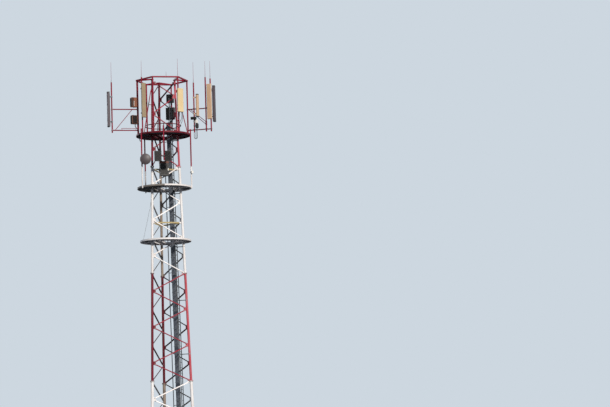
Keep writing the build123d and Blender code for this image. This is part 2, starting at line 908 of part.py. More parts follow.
front_left_pipe = beside_crown(3, front_left_pipe_shift)
back_left_pipe = beside_crown(2, back_left_pipe_shift)
aerial_pipes_list = [
    (left_pipe, outrigger_pipe_bottom, left_pipe_top),
    (front_left_pipe, head_deck, side_pipe_top),
    (back_left_pipe, head_deck, side_pipe_top),
] + [
    (place, outrigger_pipe_bottom, top) for place, top in zip(right_pipe_places, right_pipe_tops)
]
with BuildPart() as aerial_pipes:
    for place, bottom, top in aerial_pipes_list:
        add_round(place + Vector(0, 0, bottom), place + Vector(0, 0, top), pipe_diameter)
save(aerial_pipes, "aerial_pipes")

# Whips: lightning rods on the pipes' caps, and a short one on the crown's front rail
front_left_post = at(crown_radius, post_angles[4], 0)
front_right_post = at(post_radius_out, post_angles[5], 0)
rail_end = at(crown_radius, post_angles[5], 0)
whip_places = [
    (left_pipe, left_pipe_top, whip_top),
    (front_left_pipe, side_pipe_top, whip_top),
    (front_right_post, leg_top + crown_section, whip_top),
    (
        front_left_post + (rail_end - front_left_post) * rail_rod_share,
        leg_top + crown_section,
        rail_rod_top,
    ),
] + [(place, top, whip_top) for place, top in zip(right_pipe_places, right_pipe_tops)]
with BuildPart() as whips:
    for place, foot, tip in whip_places:
        with BuildSketch(Plane(origin=place + Vector(0, 0, foot))) as whip_foot:
            Circle(whip_diameter / 2)
        with BuildSketch(Plane(origin=place + Vector(0, 0, tip))) as whip_tip:
            Circle(whip_diameter / 4)
        loft([whip_foot.sketch, whip_tip.sketch])
save(whips, "lightning_whips")


# Panel aerials: a tall rounded housing on two clamped brackets
def make_panel(name, pipe, panel_set, clamped_diameter=pipe_diameter):
    """A panel aerial on its pipe, from its facing, standoff, width, depth, bottom and top."""
    angle, standoff, width, depth, bottom, top = panel_set
    with BuildPart() as panel:
        centre = pipe + direction(angle) * standoff
        with BuildSketch(
            Plane(origin=centre + Vector(0, 0, bottom), x_dir=direction(angle))
        ) as housing:
            RectangleRounded(depth, width, panel_corner)
        extrude(housing.sketch, amount=top - bottom)
        for share in (bracket_share, 1 - bracket_share):
            level = bottom + (top - bottom) * share
            place = pipe + Vector(0, 0, level)
            add_clamp(place, clamped_diameter)
            collar = clamped_diameter / 2 + seat_gap + clamp_wall / 2
            add_box_bar(
                place + direction(angle) * collar,
                place + direction(angle) * standoff,
                bracket_size,
                bracket_size,
            )
    save(panel, name)


make_panel("panel_left", left_pipe, panel_left_set)
make_panel("panel_front_left", front_left_pipe, panel_front_left_set)
make_panel("panel_front_right", front_right_post, panel_front_right_set, post_diameter)
make_panel("panel_right_inner", right_pipe_places[0], panel_right_inner_set)
make_panel("panel_right_middle", right_pipe_places[2], panel_right_middle_set)
make_panel("panel_right_outer", right_pipe_places[2], panel_right_outer_set)


# Radio units and junction boxes: boxes on clamped brackets beside the pipes
def add_box(pipe, box_set, clamped_diameter=pipe_diameter):
    """A box with rounded corners, and the bracket that holds it to a pipe."""
    angle, standoff, width, depth, bottom, top = box_set
    centre = pipe + direction(angle) * standoff
    with BuildSketch(
        Plane(origin=centre + Vector(0, 0, bottom), x_dir=direction(angle))
    ) as body:
        RectangleRounded(depth, width, box_corner)
    extrude(body.sketch, amount=top - bottom)
    place = pipe + Vector(0, 0, (bottom + top) / 2)
    add_clamp(place, clamped_diameter)
    add_box_bar(
        place + direction(angle) * (clamped_diameter / 2 + seat_gap + clamp_wall / 2),
        place + direction(angle) * standoff,
        bracket_size,
        bracket_size,
    )


back_right_post = at(post_radius_out, post_angles[1], 0)
front_pipe = at(outer_pipe_radius, front_pipe_angle, 0)
right_outer_pipe = at(outer_pipe_radius, outer_pipe_angles[1], 0)
box_groups = [
    ("radios_left", left_post, left_radio_sets, post_diameter),
    ("radios_back", back_right_post, back_radio_sets, post_diameter),
    ("radios_right", right_pipe_places[0], right_radio_sets, pipe_diameter),
    ("radios_front", front_pipe, front_radio_sets, pipe_diameter),
]
for name, pipe, box_sets, clamped_diameter in box_groups:
    with BuildPart() as boxes:
        for box_set in box_sets:
            add_box(pipe, box_set, clamped_diameter)
    save(boxes, name)

with BuildPart() as junction_boxes:
    for pipe, box_set in zip((right_pipe_places[0], right_outer_pipe), junction_sets):
        add_box(pipe, box_set)
save(junction_boxes, "junction_boxes")


# Jumper leads: stiff cables from the aerials and radio units to the deck and the arm
def add_lead(points):
    """A lead along straight runs, with each corner rounded as far as its runs allow."""
    runs = [second - first for first, second in zip(points, points[1:])]
    radii = [
        bend_share
        * min(before.length, after.length)
        / tan(radians(before.get_angle(after)) / 2)
        for before, after in zip(runs, runs[1:])
    ]
    with BuildLine() as route:
        FilletPolyline(*points, radius=radii)
    with BuildSketch(Plane(origin=points[0], z_dir=runs[0])) as lead_end:
        Circle(jumper_diameter / 2)
    sweep(lead_end.sketch, path=route.wire())


def box_place(pipe, box_set, offset):
    """A point under a box or a panel, at an offset across it."""
    angle, standoff, _, _, bottom, _ = box_set
    return (
        pipe + direction(angle) * standoff + direction(angle + 90) * offset + Vector(0, 0, bottom)
    )


def down(place, level):
    """The point at a level straight above or below a place."""
    return Vector(place.X, place.Y, level)


with BuildPart() as jumper_leads:
    for offset, drop in zip(front_lead_offsets, front_lead_drops):
        start = box_place(front_right_post, panel_front_right_set, offset)
        turn = start - Vector(0, 0, drop)
        inward = direction(panel_front_right_set[0]) * -(
            panel_front_right_set[1] + front_lead_landing
        )
        landing = turn + inward - Vector(0, 0, front_lead_fall)
        add_lead([start, turn, landing, down(landing, head_deck)])
    for offset in back_lead_offsets:
        start = box_place(back_right_post, back_radio_sets[1], offset)
        turn = start - Vector(0, 0, back_lead_drop)
        landing = turn + direction(back_radio_sets[1][0]) * back_lead_shift
        landing = landing - Vector(0, 0, 2 * back_lead_shift)
        add_lead([start, turn, landing, down(landing, head_deck)])
    for offset in left_lead_offsets:
        start = box_place(left_post, left_radio_sets[1], offset)
        turn = start - Vector(0, 0, left_lead_drop)
        landing = turn + direction(left_radio_sets[1][0]) * -left_lead_landing
        landing = landing - Vector(0, 0, left_lead_landing)
        add_lead([start, turn, landing, down(landing, head_deck)])
    for offset in right_loop_offsets:
        start = box_place(right_pipe_places[0], right_radio_sets[1], offset)
        end = right_pipe_places[0] - side * side_offset + direction(right_arm_angle) * offset
        arm_under = arm_levels[0] - arm_diameter / 2 - seat_gap
        add_lead(
            [
                start,
                down(start, right_loop_bottom),
                down(end, right_loop_bottom),
                down(end, arm_under),
            ]
        )
    for angles in deck_loop_angles:
        ends = [at(radius, angle, 0) for radius, angle in zip(deck_loop_radii, angles)]
        deck_under = head_deck - deck_thickness
        add_lead(
            [
                down(ends[0], deck_under),
                down(ends[0], deck_loop_bottom),
                down(ends[1], deck_loop_bottom),
                down(ends[1], deck_under),
            ]
        )
save(jumper_leads, "jumper_leads")

# Equipment box on the front face, stood off the upper girth
with BuildPart() as equipment_box:
    front_plane = face_plane(leg_angles[0])
    girth_place = on_face(leg_angles[0], 1, girth_levels[1])
    face_out = direction(leg_angles[0] + 60)
    girth_face = front_plane.from_local_coords((box_shift, girth_place.Y, -gusset_thickness / 2))
    box_back = girth_face + face_out * box_standoff
    box_centre = Vector(box_back.X, box_back.Y, 0) + face_out * (box_depth / 2)
    with BuildSketch(
        Plane(origin=box_centre + Vector(0, 0, box_bottom), x_dir=face_out)
    ) as box_outline:
        RectangleRounded(box_depth, box_width, equipment_box_corner)
    extrude(box_outline.sketch, amount=box_top - box_bottom)
    with BuildSketch(front_plane.offset(-gusset_thickness / 2)) as box_stubs:
        with Locations((box_shift, girth_place.Y)):
            with GridLocations(box_width / 2, 0, 2, 1):
                Rectangle(bracket_size, bracket_size)
    extrude(box_stubs.sketch, amount=box_standoff + box_depth / 4)
save(equipment_box, "equipment_box")

# Microwave dish: a shallow drum with a domed cover, on the left outer pipe
dish_pipe = at(outer_pipe_radius, outer_pipe_angles[0], dish_level)
dome_radius = (dish_diameter**2 / 4 + dish_dome**2) / (2 * dish_dome)
dome_centre = dome_radius - dish_depth - dish_dome
dome_middle = sqrt(dome_radius**2 - (dish_diameter / 4) ** 2)
with BuildPart() as dish:
    facing = direction(dish_face_angle)
    across = direction(dish_face_angle + 90)
    dish_back = dish_pipe + facing * dish_standoff + across * dish_side_shift
    with BuildSketch(Plane(origin=dish_back, x_dir=across, z_dir=(0, 0, 1))) as dish_profile:
        with BuildLine():
            Polyline(
                (0, 0),
                (dish_diameter / 8, 0),
                (dish_diameter / 2, -dish_back_depth),
                (dish_diameter / 2, -dish_depth),
            )
            ThreePointArc(
                (dish_diameter / 2, -dish_depth),
                (dish_diameter / 4, dome_centre - dome_middle),
                (0, -dish_depth - dish_dome),
            )
            Line((0, -dish_depth - dish_dome), (0, 0))
        make_face()
    revolve(dish_profile.sketch, axis=Axis(dish_back, facing))
    add_clamp(dish_pipe, pipe_diameter, dish_clamp_height)
    arm_seat = facing * (dish_standoff - dish_seat_depth)
    cross_seat = facing * (dish_seat_depth + bracket_size / 2)
    add_box_bar(dish_pipe + facing * pipe_collar, dish_pipe + arm_seat, bracket_size, bracket_size)
    add_box_bar(
        dish_pipe + facing * dish_standoff - cross_seat,
        dish_back - cross_seat,
        bracket_size,
        bracket_size,
    )
    add_box_bar(
        dish_back - facing * (dish_seat_depth + bracket_size),
        dish_back + facing * dish_hub_embed,
        2 * bracket_size,
        2 * bracket_size,
    )
save(dish, "microwave_dish")
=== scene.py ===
# %% [markdown]
# # Cell tower
# This lesson dresses a three-legged lattice tower for mobile phone aerials. The
# steelwork comes from the CAD model as it is, and stays where it is. Blender gives
# each piece its finish, and adds what is too fine for the CAD model: bolts, gratings,
# cooling fins, cable hangers and the like.

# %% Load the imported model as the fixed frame
from collections import namedtuple
from math import atan2, cos, degrees, pi, radians, sin, sqrt

import bmesh
import bpy
from mathutils import Matrix, Vector


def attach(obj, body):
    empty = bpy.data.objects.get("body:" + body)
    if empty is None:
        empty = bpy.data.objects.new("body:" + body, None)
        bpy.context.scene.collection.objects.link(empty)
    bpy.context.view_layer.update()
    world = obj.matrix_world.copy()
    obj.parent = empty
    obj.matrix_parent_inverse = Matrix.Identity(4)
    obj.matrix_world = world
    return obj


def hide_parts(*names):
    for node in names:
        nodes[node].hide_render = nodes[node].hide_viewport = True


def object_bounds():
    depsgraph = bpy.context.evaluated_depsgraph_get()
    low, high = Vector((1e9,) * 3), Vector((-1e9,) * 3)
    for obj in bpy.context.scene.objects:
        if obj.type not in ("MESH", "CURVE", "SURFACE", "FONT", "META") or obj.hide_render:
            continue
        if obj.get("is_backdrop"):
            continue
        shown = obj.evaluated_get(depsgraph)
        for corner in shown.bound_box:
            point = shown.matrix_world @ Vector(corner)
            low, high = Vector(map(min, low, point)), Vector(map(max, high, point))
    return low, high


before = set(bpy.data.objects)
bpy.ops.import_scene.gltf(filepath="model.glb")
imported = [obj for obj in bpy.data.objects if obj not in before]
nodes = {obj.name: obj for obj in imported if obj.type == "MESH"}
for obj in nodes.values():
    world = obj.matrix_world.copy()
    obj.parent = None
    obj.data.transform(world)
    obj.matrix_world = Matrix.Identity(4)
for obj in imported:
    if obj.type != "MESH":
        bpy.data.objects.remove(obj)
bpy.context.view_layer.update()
scene = bpy.context.scene

# %% [markdown]
# ## The tower's own measures
# A detail such as a bolt has to sit on the steel that it holds, so the lesson repeats
# the CAD model's main sizes, in metres, and works out each place from them. The tower
# is a tall three-sided pyramid with its top cut off, and a leg stands on each corner.

# %% Legs and faces
leg_top = 28.925
base_width = 2.84
top_width = 1.287
leg_angles = (-150, -30, 90)
leg_diameters = (0.1683, 0.1683, 0.1397, 0.1397, 0.1143)
band_height = 6
node_levels = [0.35, *range(1, 29), 28.85]
tower_axis = Vector((base_width / 2, base_width / (2 * sqrt(3)), 0))


def direction(angle):
    """A level unit vector at an angle in degrees from X."""
    return Vector((cos(radians(angle)), sin(radians(angle)), 0))


def lift(height):
    """A vector straight up."""
    return Vector((0, 0, height))


def at(radius, angle, level):
    """A point at a radius and angle round the tower's axis."""
    return tower_axis + direction(angle) * radius + lift(level)


def face_width(level):
    """The distance between two legs' axes at a level."""
    return base_width - (base_width - top_width) * level / leg_top


def leg_point(angle, level):
    """A point on a leg's axis."""
    return at(face_width(level) / sqrt(3), angle, level)


def leg_diameter(level):
    """The legs get thinner at some of the splices."""
    return leg_diameters[min(int(level // band_height), len(leg_diameters) - 1)]


def face_frame(angle):
    """A face's own frame: X across it, Y up along it and Z outward."""
    across = direction(angle + 150)
    foot = (leg_point(angle, 0) + leg_point(angle + 120, 0)) / 2
    head = (leg_point(angle, leg_top) + leg_point(angle + 120, leg_top)) / 2
    up = (head - foot).normalized()
    turned = Matrix((across, up, across.cross(up))).transposed()
    return Matrix.Translation(foot) @ turned.to_4x4()


print("faces", [round(face_width(level), 3) for level in (0, 12, 24)], "m wide")

# %% [markdown]
# ## Where the camera stands
# The photograph was taken from the ground, about 150 m away, through a long lens. A
# long lens flattens the tower, so its far leg looks nearly as large as the near ones.
# The tower stands left of the middle of the picture and leans slightly, because the
# camera was rolled, so the roll is part of the camera and not of the tower.

# %% The camera
camera_azimuth = -12.94
camera_distance = 151.1
camera_height = 1.5
camera_turn = -2.973
camera_pitch = 7.64
camera_roll = -1.794

camera_data = bpy.data.cameras.new("camera")
camera_data.lens = 160.64
camera_data.sensor_width = 36
camera_data.clip_end = 2000
camera = bpy.data.objects.new("camera", camera_data)
scene.collection.objects.link(camera)
camera_place = at(camera_distance, camera_azimuth - 90, camera_height)
camera.matrix_world = (
    Matrix.Translation(camera_place)
    @ Matrix.Rotation(radians(camera_azimuth + camera_turn), 4, "Z")
    @ Matrix.Rotation(radians(90 + camera_pitch), 4, "X")
    @ Matrix.Rotation(radians(camera_roll), 4, "Z")
)
scene.camera = camera
print("camera at", [round(value, 2) for value in camera_place])

# %% [markdown]
# ## Two small helpers
# Colours are written as a designer writes them, in sRGB hex, and one function turns
# them to the linear values that the shaders work in. A second function adds a node to
# any tree, sets its properties and feeds its sockets.


# %% Colours and nodes
def linear(hex_colour):
    """An sRGB hex colour such as #C8323C as a linear RGBA tuple."""
    values = [int(hex_colour[place : place + 2], 16) / 255 for place in (1, 3, 5)]
    turned = [
        value / 12.92 if value <= 0.04045 else ((value + 0.055) / 1.055) ** 2.4
        for value in values
    ]
    return (*turned, 1.0)


def add_node(tree, kind, feeds=None, **settings):
    """A new node with its settings, and each named or numbered input linked or set."""
    node = tree.nodes.new(kind)
    for name, value in settings.items():
        setattr(node, name, value)
    for key, source in (feeds or {}).items():
        if isinstance(source, bpy.types.NodeSocket):
            tree.links.new(source, node.inputs[key])
        else:
            node.inputs[key].default_value = source
    return node


# %% [markdown]
# ## The studio
# The sun stood low behind the camera and a little to its right, so the near face is
# bright and the undersides of the platforms are nearly black. One soft sun lamp does
# that here, and the world adds a cool light from above and little from below. A weaker
# and much softer lamp fills the back, which the photograph doesn't show. The
# background is a plain pale tone that only the camera and the reflections see.

# %% The world
backdrop = linear("#CDD7E0")
world = bpy.data.worlds.new("studio")
scene.world = world
world.use_nodes = True
tree = world.node_tree
tree.nodes.clear()
rays = add_node(tree, "ShaderNodeLightPath").outputs
seen = rays["Is Camera Ray"]
for other in ("Is Glossy Ray", "Is Transmission Ray"):
    feeds = {0: seen, 1: rays[other]}
    seen = add_node(tree, "ShaderNodeMath", feeds, operation="MAXIMUM").outputs[0]
aim = add_node(tree, "ShaderNodeTexCoord")
split = add_node(tree, "ShaderNodeSeparateXYZ", {0: aim.outputs["Generated"]})
span = {"Value": split.outputs["Z"], "From Min": -0.25, "From Max": 0.7}
height = add_node(tree, "ShaderNodeMapRange", span).outputs[0]
tones = {"Factor": height, 6: linear("#1C1E22"), 7: linear("#A8B4C6")}
sky_tone = add_node(tree, "ShaderNodeMix", tones, data_type="RGBA").outputs[2]
lit = add_node(tree, "ShaderNodeBackground", {"Color": sky_tone})
shown = add_node(tree, "ShaderNodeBackground", {"Color": backdrop})
both = {0: seen, 1: lit.outputs[0], 2: shown.outputs[0]}
mixed = add_node(tree, "ShaderNodeMixShader", both)
add_node(tree, "ShaderNodeOutputWorld", {0: mixed.outputs[0]})
print("the world has", len(tree.nodes), "nodes")

# %% The floor
floor_reach = 600
floor_level = -0.001
corners = [
    (floor_reach * x, floor_reach * y, floor_level)
    for x, y in ((-1, -1), (1, -1), (1, 1), (-1, 1))
]
floor_mesh = bpy.data.meshes.new("floor")
floor_mesh.from_pydata(corners, [], [(0, 1, 2, 3)])
floor_object = bpy.data.objects.new("floor", floor_mesh)
scene.collection.objects.link(floor_object)
floor_object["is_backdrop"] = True

floor_finish = bpy.data.materials.new("studio_floor")
floor_finish.use_nodes = True
floor_finish.cycles.emission_sampling = "NONE"
tree = floor_finish.node_tree
tree.nodes.clear()
rays = add_node(tree, "ShaderNodeLightPath").outputs
geometry = add_node(tree, "ShaderNodeNewGeometry").outputs
# The camera sees a pale floor that glows by itself in part, because the low sun alone
# leaves it grey, and the part that is lit keeps the tower's shadow
glow_share = 0.6
paint = add_node(tree, "ShaderNodeBsdfDiffuse", {"Color": linear("#4A4B4C")})
chalk = add_node(tree, "ShaderNodeBsdfDiffuse", {"Color": linear("#F2F4F6")})
glow = add_node(tree, "ShaderNodeEmission", {"Color": backdrop})
clear = add_node(tree, "ShaderNodeBsdfTransparent")
feeds = {0: glow_share, 1: chalk.outputs[0], 2: glow.outputs[0]}
pale = add_node(tree, "ShaderNodeMixShader", feeds)
feeds = {0: rays["Is Camera Ray"], 1: paint.outputs[0], 2: pale.outputs[0]}
shown = add_node(tree, "ShaderNodeMixShader", feeds)
# Seen from below, the floor is not there
feeds = {0: geometry["Backfacing"], 1: shown.outputs[0], 2: clear.outputs[0]}
sided = add_node(tree, "ShaderNodeMixShader", feeds)
add_node(tree, "ShaderNodeOutputMaterial", {0: sided.outputs[0]})
floor_mesh.materials.append(floor_finish)
print("the floor is", 2 * floor_reach, "m wide")

# %% The lamps
# Each lamp's strength, softness in degrees, colour and the way that it shines from
for name, strength, softness, colour, shines_from in (
    ("sun", 3.2, 6, "#FFFAF2", (0.16, -0.89, 0.40)),
    ("back_fill", 1.3, 40, "#EEF3FA", (-0.25, 0.82, 0.45)),
):
    lamp_data = bpy.data.lights.new(name, "SUN")
    lamp_data.energy = strength
    lamp_data.angle = radians(softness)
    lamp_data.color = linear(colour)[:3]
    lamp = bpy.data.objects.new(name, lamp_data)
    scene.collection.objects.link(lamp)
    away = Vector(shines_from)
    lamp.rotation_euler = away.to_track_quat("Z", "Y").to_euler()
    print(name, "at elevation", round(degrees(atan2(away.z, away.xy.length)), 1))

# %% [markdown]
# ## What all finishes share
# Real surfaces are never one colour: they fade in patches, dirt runs down them, and a
# close look finds a grain. Images would have to be laid out on each of a hundred
# pieces. Noise that follows Object coordinates needs none of that, and stays on the
# steel when the camera moves. Its scale is 1 over the size of its patches in metres.
# Three short functions hold what the finishes share.


# %% Starting a finish, flecks, and ending it
def start_finish(name):
    """A material, its empty tree, and the coordinates that its patterns follow."""
    finish = bpy.data.materials.new(name)
    finish.use_nodes = True
    tree = finish.node_tree
    tree.nodes.clear()
    return finish, tree, add_node(tree, "ShaderNodeTexCoord").outputs["Object"]


def flecks(tree, place, scale, detail, low, high, most=1.0):
    """Noise cut to flecks: 0 where it is under low, and most where it is over high."""
    feeds = {"Vector": place, "Scale": scale, "Detail": detail}
    noise = add_node(tree, "ShaderNodeTexNoise", feeds).outputs["Fac"]
    span = {"Value": noise, "From Min": low, "From Max": high, "To Max": most}
    return add_node(tree, "ShaderNodeMapRange", span).outputs[0]


def end_finish(tree, colour, roughness, height, strength, depth, constants=None):
    """A relief of a depth in metres, then the shader and the output."""
    feeds = {"Height": height, "Strength": strength, "Distance": depth}
    relief = add_node(tree, "ShaderNodeBump", feeds).outputs[0]
    feeds = {"Base Color": colour, "Roughness": roughness, "Normal": relief}
    shader = add_node(tree, "ShaderNodeBsdfPrincipled", {**feeds, **(constants or {})})
    add_node(tree, "ShaderNodeOutputMaterial", {0: shader.outputs[0]})


# %% [markdown]
# ## Enamel on steel
# Aviation bands are brushed alkyd enamel over hot-dip galvanised steel. After years of
# sun the red fades in soft patches, rain draws thin dirty streaks down it, and here
# and there a chip shows the grey zinc. One function makes both colours, so that they
# age alike. A dark colour is painted as shade on the sides of the bars that look into
# the tower, and the legs differ, so the function also takes second colours for a part
# of the tower.

# %% The enamel's function
inner_skin = 0.007


# This mask says where the bars' painted shade goes
def inner_sides(tree, place):
    """1 on the sides of the bracing that look into the tower, and 0 on the others.

    A diagonal's flat inner side lies 5 mm outside its face's middle plane, and the rest
    of it further out. So the distance to the nearest of the three planes tells the two
    sides apart, from Object coordinates alone.
    """
    nearest = None
    for angle in leg_angles:
        face = face_frame(angle)
        feeds = {0: place, 1: face.translation}
        ray = add_node(tree, "ShaderNodeVectorMath", feeds, operation="SUBTRACT")
        feeds = {0: ray.outputs[0], 1: face.col[2].xyz}
        depth = add_node(tree, "ShaderNodeVectorMath", feeds, operation="DOT_PRODUCT")
        depth = depth.outputs["Value"]
        if nearest is not None:
            feeds = {0: nearest, 1: depth}
            deeper = add_node(tree, "ShaderNodeMath", feeds, operation="MAXIMUM")
            depth = deeper.outputs[0]
        nearest = depth
    feeds = {0: nearest, 1: inner_skin}
    return add_node(tree, "ShaderNodeMath", feeds, operation="LESS_THAN").outputs[0]


def make_enamel(name, pair, dirt_share, elsewhere=(), painted_shade_hex=None):
    """Brushed enamel in a fresh and a faded colour, more or less dirty.

    Each of elsewhere gives another pair past an X or a Y, or under a Z, in metres. A
    dark colour is painted as shade on the sides that look into the tower.
    """
    finish, tree, place = start_finish(name)
    # Faded patches are about a metre wide, and duller than the rest
    feeds = {"Vector": place, "Scale": 1.1, "Detail": 4.0}
    patches = add_node(tree, "ShaderNodeTexNoise", feeds).outputs["Fac"]
    span = {"Value": patches, "From Min": 0.38, "From Max": 0.68}
    fade = add_node(tree, "ShaderNodeMapRange", span).outputs[0]
    span = {"Value": patches, "To Min": 0.34, "To Max": 0.62}
    gloss = add_node(tree, "ShaderNodeMapRange", span).outputs[0]
    split = add_node(tree, "ShaderNodeSeparateXYZ", {0: place}).outputs
    colour = None
    for way, limit, fresh_hex, faded_hex in ((None, 0, *pair), *elsewhere):
        tones = {"Factor": fade, 6: linear(fresh_hex), 7: linear(faded_hex)}
        tone = add_node(tree, "ShaderNodeMix", tones, data_type="RGBA").outputs[2]
        if way:
            test = "LESS_THAN" if way == "Z" else "GREATER_THAN"
            feeds = {0: split[way], 1: limit}
            side = add_node(tree, "ShaderNodeMath", feeds, operation=test)
            tones = {"Factor": side.outputs[0], 6: colour, 7: tone}
            tone = add_node(tree, "ShaderNodeMix", tones, data_type="RGBA").outputs[2]
        colour = tone
    # Rain streaks are about 40 mm wide and run down for a metre
    feeds = {"Vector": place, "Scale": (22, 22, 1.1)}
    long_way = add_node(tree, "ShaderNodeMapping", feeds).outputs[0]
    dirt = flecks(tree, long_way, 1.0, 3.0, 0.52, 0.75, dirt_share)
    # Chips of 10 to 20 mm, sparse, show the zinc
    bare = flecks(tree, place, 34.0, 2.0, 0.73, 0.76)
    # A dark colour painted on the sides that look into the tower stands in for their shade
    inner_painted_shade = [(inner_sides(tree, place), painted_shade_hex)] if painted_shade_hex else []
    for cover, layer_hex in ((dirt, "#5A4A42"), *inner_painted_shade, (bare, "#7C7D7B")):
        tones = {"Factor": cover, 6: colour, 7: linear(layer_hex)}
        colour = add_node(tree, "ShaderNodeMix", tones, data_type="RGBA").outputs[2]
    # Brush marks of 11 mm. Old alkyd goes chalky, so it mirrors less of the sky
    feeds = {"Vector": place, "Scale": 90.0, "Detail": 2.0}
    brush = add_node(tree, "ShaderNodeTexNoise", feeds).outputs["Fac"]
    chalky = {"Specular IOR Level": 0.2}
    end_finish(tree, colour, gloss, brush, 0.25, 0.002, chalky)
    return finish


# %% [markdown]
# ## The tower's enamels
# The same two paints look different on each part: the right leg has faded to salmon,
# the back leg is painted dark as shade, the head platform is painted near black as
# shade, and the middle platform is grey on its left. Each gets its own colours here.

# %% Red, white and cream
red_pair = ("#860626", "#961432")
white_pair = ("#F6F2F0", "#EAE2DE")
right_leg = ("X", 1.8)
# The back leg past Y 1.2 m gets darker colours, in red and in white, as painted shade
back_leg = ("Y", 1.2)
red_enamel = make_enamel("red_alkyd_enamel", red_pair, 0.35)
white_enamel = make_enamel("white_alkyd_enamel", white_pair, 0.25)
red_leg_enamel = make_enamel(
    "red_leg_enamel",
    ("#6E0820", "#80142C"),
    0.3,
    [(*right_leg, "#C04C58", "#CC6C74"), (*back_leg, "#5A0A1A", "#6C1424")],
)
white_leg_enamel = make_enamel(
    "white_leg_enamel", white_pair, 0.2, [(*back_leg, "#8E7E70", "#A08E80")]
)
# The bars' inner sides get a dark colour as painted shade
red_bar_enamel = make_enamel(
    "red_bar_enamel", ("#8C0428", "#9A1232"), 0.3, painted_shade_hex="#28141A"
)
white_bar_enamel = make_enamel(
    "white_bar_enamel", white_pair, 0.15, painted_shade_hex="#3C3836"
)
banded_enamel = make_enamel(
    "banded_alkyd_enamel", red_pair, 0.3, [("Z", 24.0, *white_pair)]
)
cream_enamel = make_enamel("cream_primer_enamel", ("#BCA876", "#AC9664"), 0.4)
# Near-black red is painted shade on the head platform, its hoop and the right outrigger
painted_shade_red_enamel = make_enamel("painted_shade_red_enamel", ("#5E0E1E", "#7A1A2C"), 0.6)
# The middle platform's white turns grey left of X 1.1 m
grey_left_white_enamel = make_enamel(
    "grey_left_white_enamel", ("#7A736C", "#8E867E"), 0.3, [("X", 1.1, *white_pair)]
)
print("red enamel has", len(red_enamel.node_tree.nodes), "nodes")

# %% [markdown]
# ## Bare metal and plastics
# Galvanised steel is dipped in molten zinc, and cools with a spangle of crystals a
# finger's width across: to the eye, a mosaic of slightly different greys with a dull
# metal sheen. Radomes are glass fibre with a satin coat, which looks soft and even.
# The radio housings are die-cast aluminium with a dark powder coat, matt and faintly
# pebbled, and the cables have black polyethylene jackets, smoother and a bit glossy.


# %% Zinc, radome, powder coat and cable jacket
def make_zinc(name, bright_hex, dull_hex, roughness):
    """Hot-dip galvanised steel with a spangle of about 20 mm."""
    finish, tree, place = start_finish(name)
    feeds = {"Vector": place, "Scale": 50.0}
    spangle = add_node(tree, "ShaderNodeTexVoronoi", feeds).outputs
    feeds = {"Vector": place, "Scale": 2.5, "Detail": 4.0}
    weather = add_node(tree, "ShaderNodeTexNoise", feeds).outputs["Fac"]
    feeds = {"Factor": 0.65, 2: spangle["Color"], 3: weather}
    both = add_node(tree, "ShaderNodeMix", feeds).outputs[0]
    tones = {"Factor": both, 6: linear(dull_hex), 7: linear(bright_hex)}
    tone = add_node(tree, "ShaderNodeMix", tones, data_type="RGBA").outputs[2]
    span = {"Value": both, "To Min": roughness - 0.1, "To Max": roughness + 0.12}
    rough = add_node(tree, "ShaderNodeMapRange", span).outputs[0]
    dulled = {"Metallic": 0.55}
    end_finish(tree, tone, rough, spangle["Distance"], 0.12, 0.001, dulled)
    return finish


def make_coat(name, colour_hex, aged_hex, roughness, grain_mm, relief_mm):
    """A sprayed or moulded coat: aged patches, faint streaks and a fine grain."""
    finish, tree, place = start_finish(name)
    # Patches of 0.6 m, and streaks 30 mm wide and 0.7 m long
    feeds = {"Vector": place, "Scale": 1.7, "Detail": 5.0}
    patches = add_node(tree, "ShaderNodeTexNoise", feeds).outputs["Fac"]
    feeds = {"Vector": place, "Scale": (30, 30, 1.4)}
    long_way = add_node(tree, "ShaderNodeMapping", feeds).outputs[0]
    feeds = {"Vector": long_way, "Scale": 1.0}
    streaks = add_node(tree, "ShaderNodeTexNoise", feeds).outputs["Fac"]
    both = add_node(tree, "ShaderNodeMix", {"Factor": 0.5, 2: patches, 3: streaks})
    span = {"Value": both.outputs[0], "From Min": 0.35, "From Max": 0.68}
    aged = add_node(tree, "ShaderNodeMapRange", span).outputs[0]
    tones = {"Factor": aged, 6: linear(colour_hex), 7: linear(aged_hex)}
    tone = add_node(tree, "ShaderNodeMix", tones, data_type="RGBA").outputs[2]
    span = {"Value": aged, "To Min": roughness - 0.06, "To Max": roughness + 0.1}
    rough = add_node(tree, "ShaderNodeMapRange", span).outputs[0]
    # A real grain of under 1 mm would not show, so it is drawn 5 to 12 mm wide
    feeds = {"Vector": place, "Scale": 1000 / grain_mm, "Detail": 1.0}
    grain = add_node(tree, "ShaderNodeTexNoise", feeds).outputs["Fac"]
    end_finish(tree, tone, rough, grain, 0.2, relief_mm / 1000)
    return finish


bright_zinc = make_zinc("galvanised_steel", "#A9ACAE", "#7C8083", 0.5)
dull_zinc = make_zinc("weathered_galvanised_steel", "#6F7275", "#4A4D50", 0.6)
cream_radome = make_coat("cream_glass_fibre", "#EBD3A4", "#DDBF8C", 0.5, 8, 0.4)
tan_radome = make_coat("tan_glass_fibre", "#A08C6C", "#8C785C", 0.52, 8, 0.4)
sand_radome = make_coat("sand_glass_fibre", "#DAB896", "#C8A280", 0.5, 8, 0.4)
# Dark grey-brown is painted shade on the two aerials that show their narrow sides
painted_shade_radome = make_coat("painted_shade_glass_fibre", "#43373F", "#51454C", 0.52, 8, 0.4)
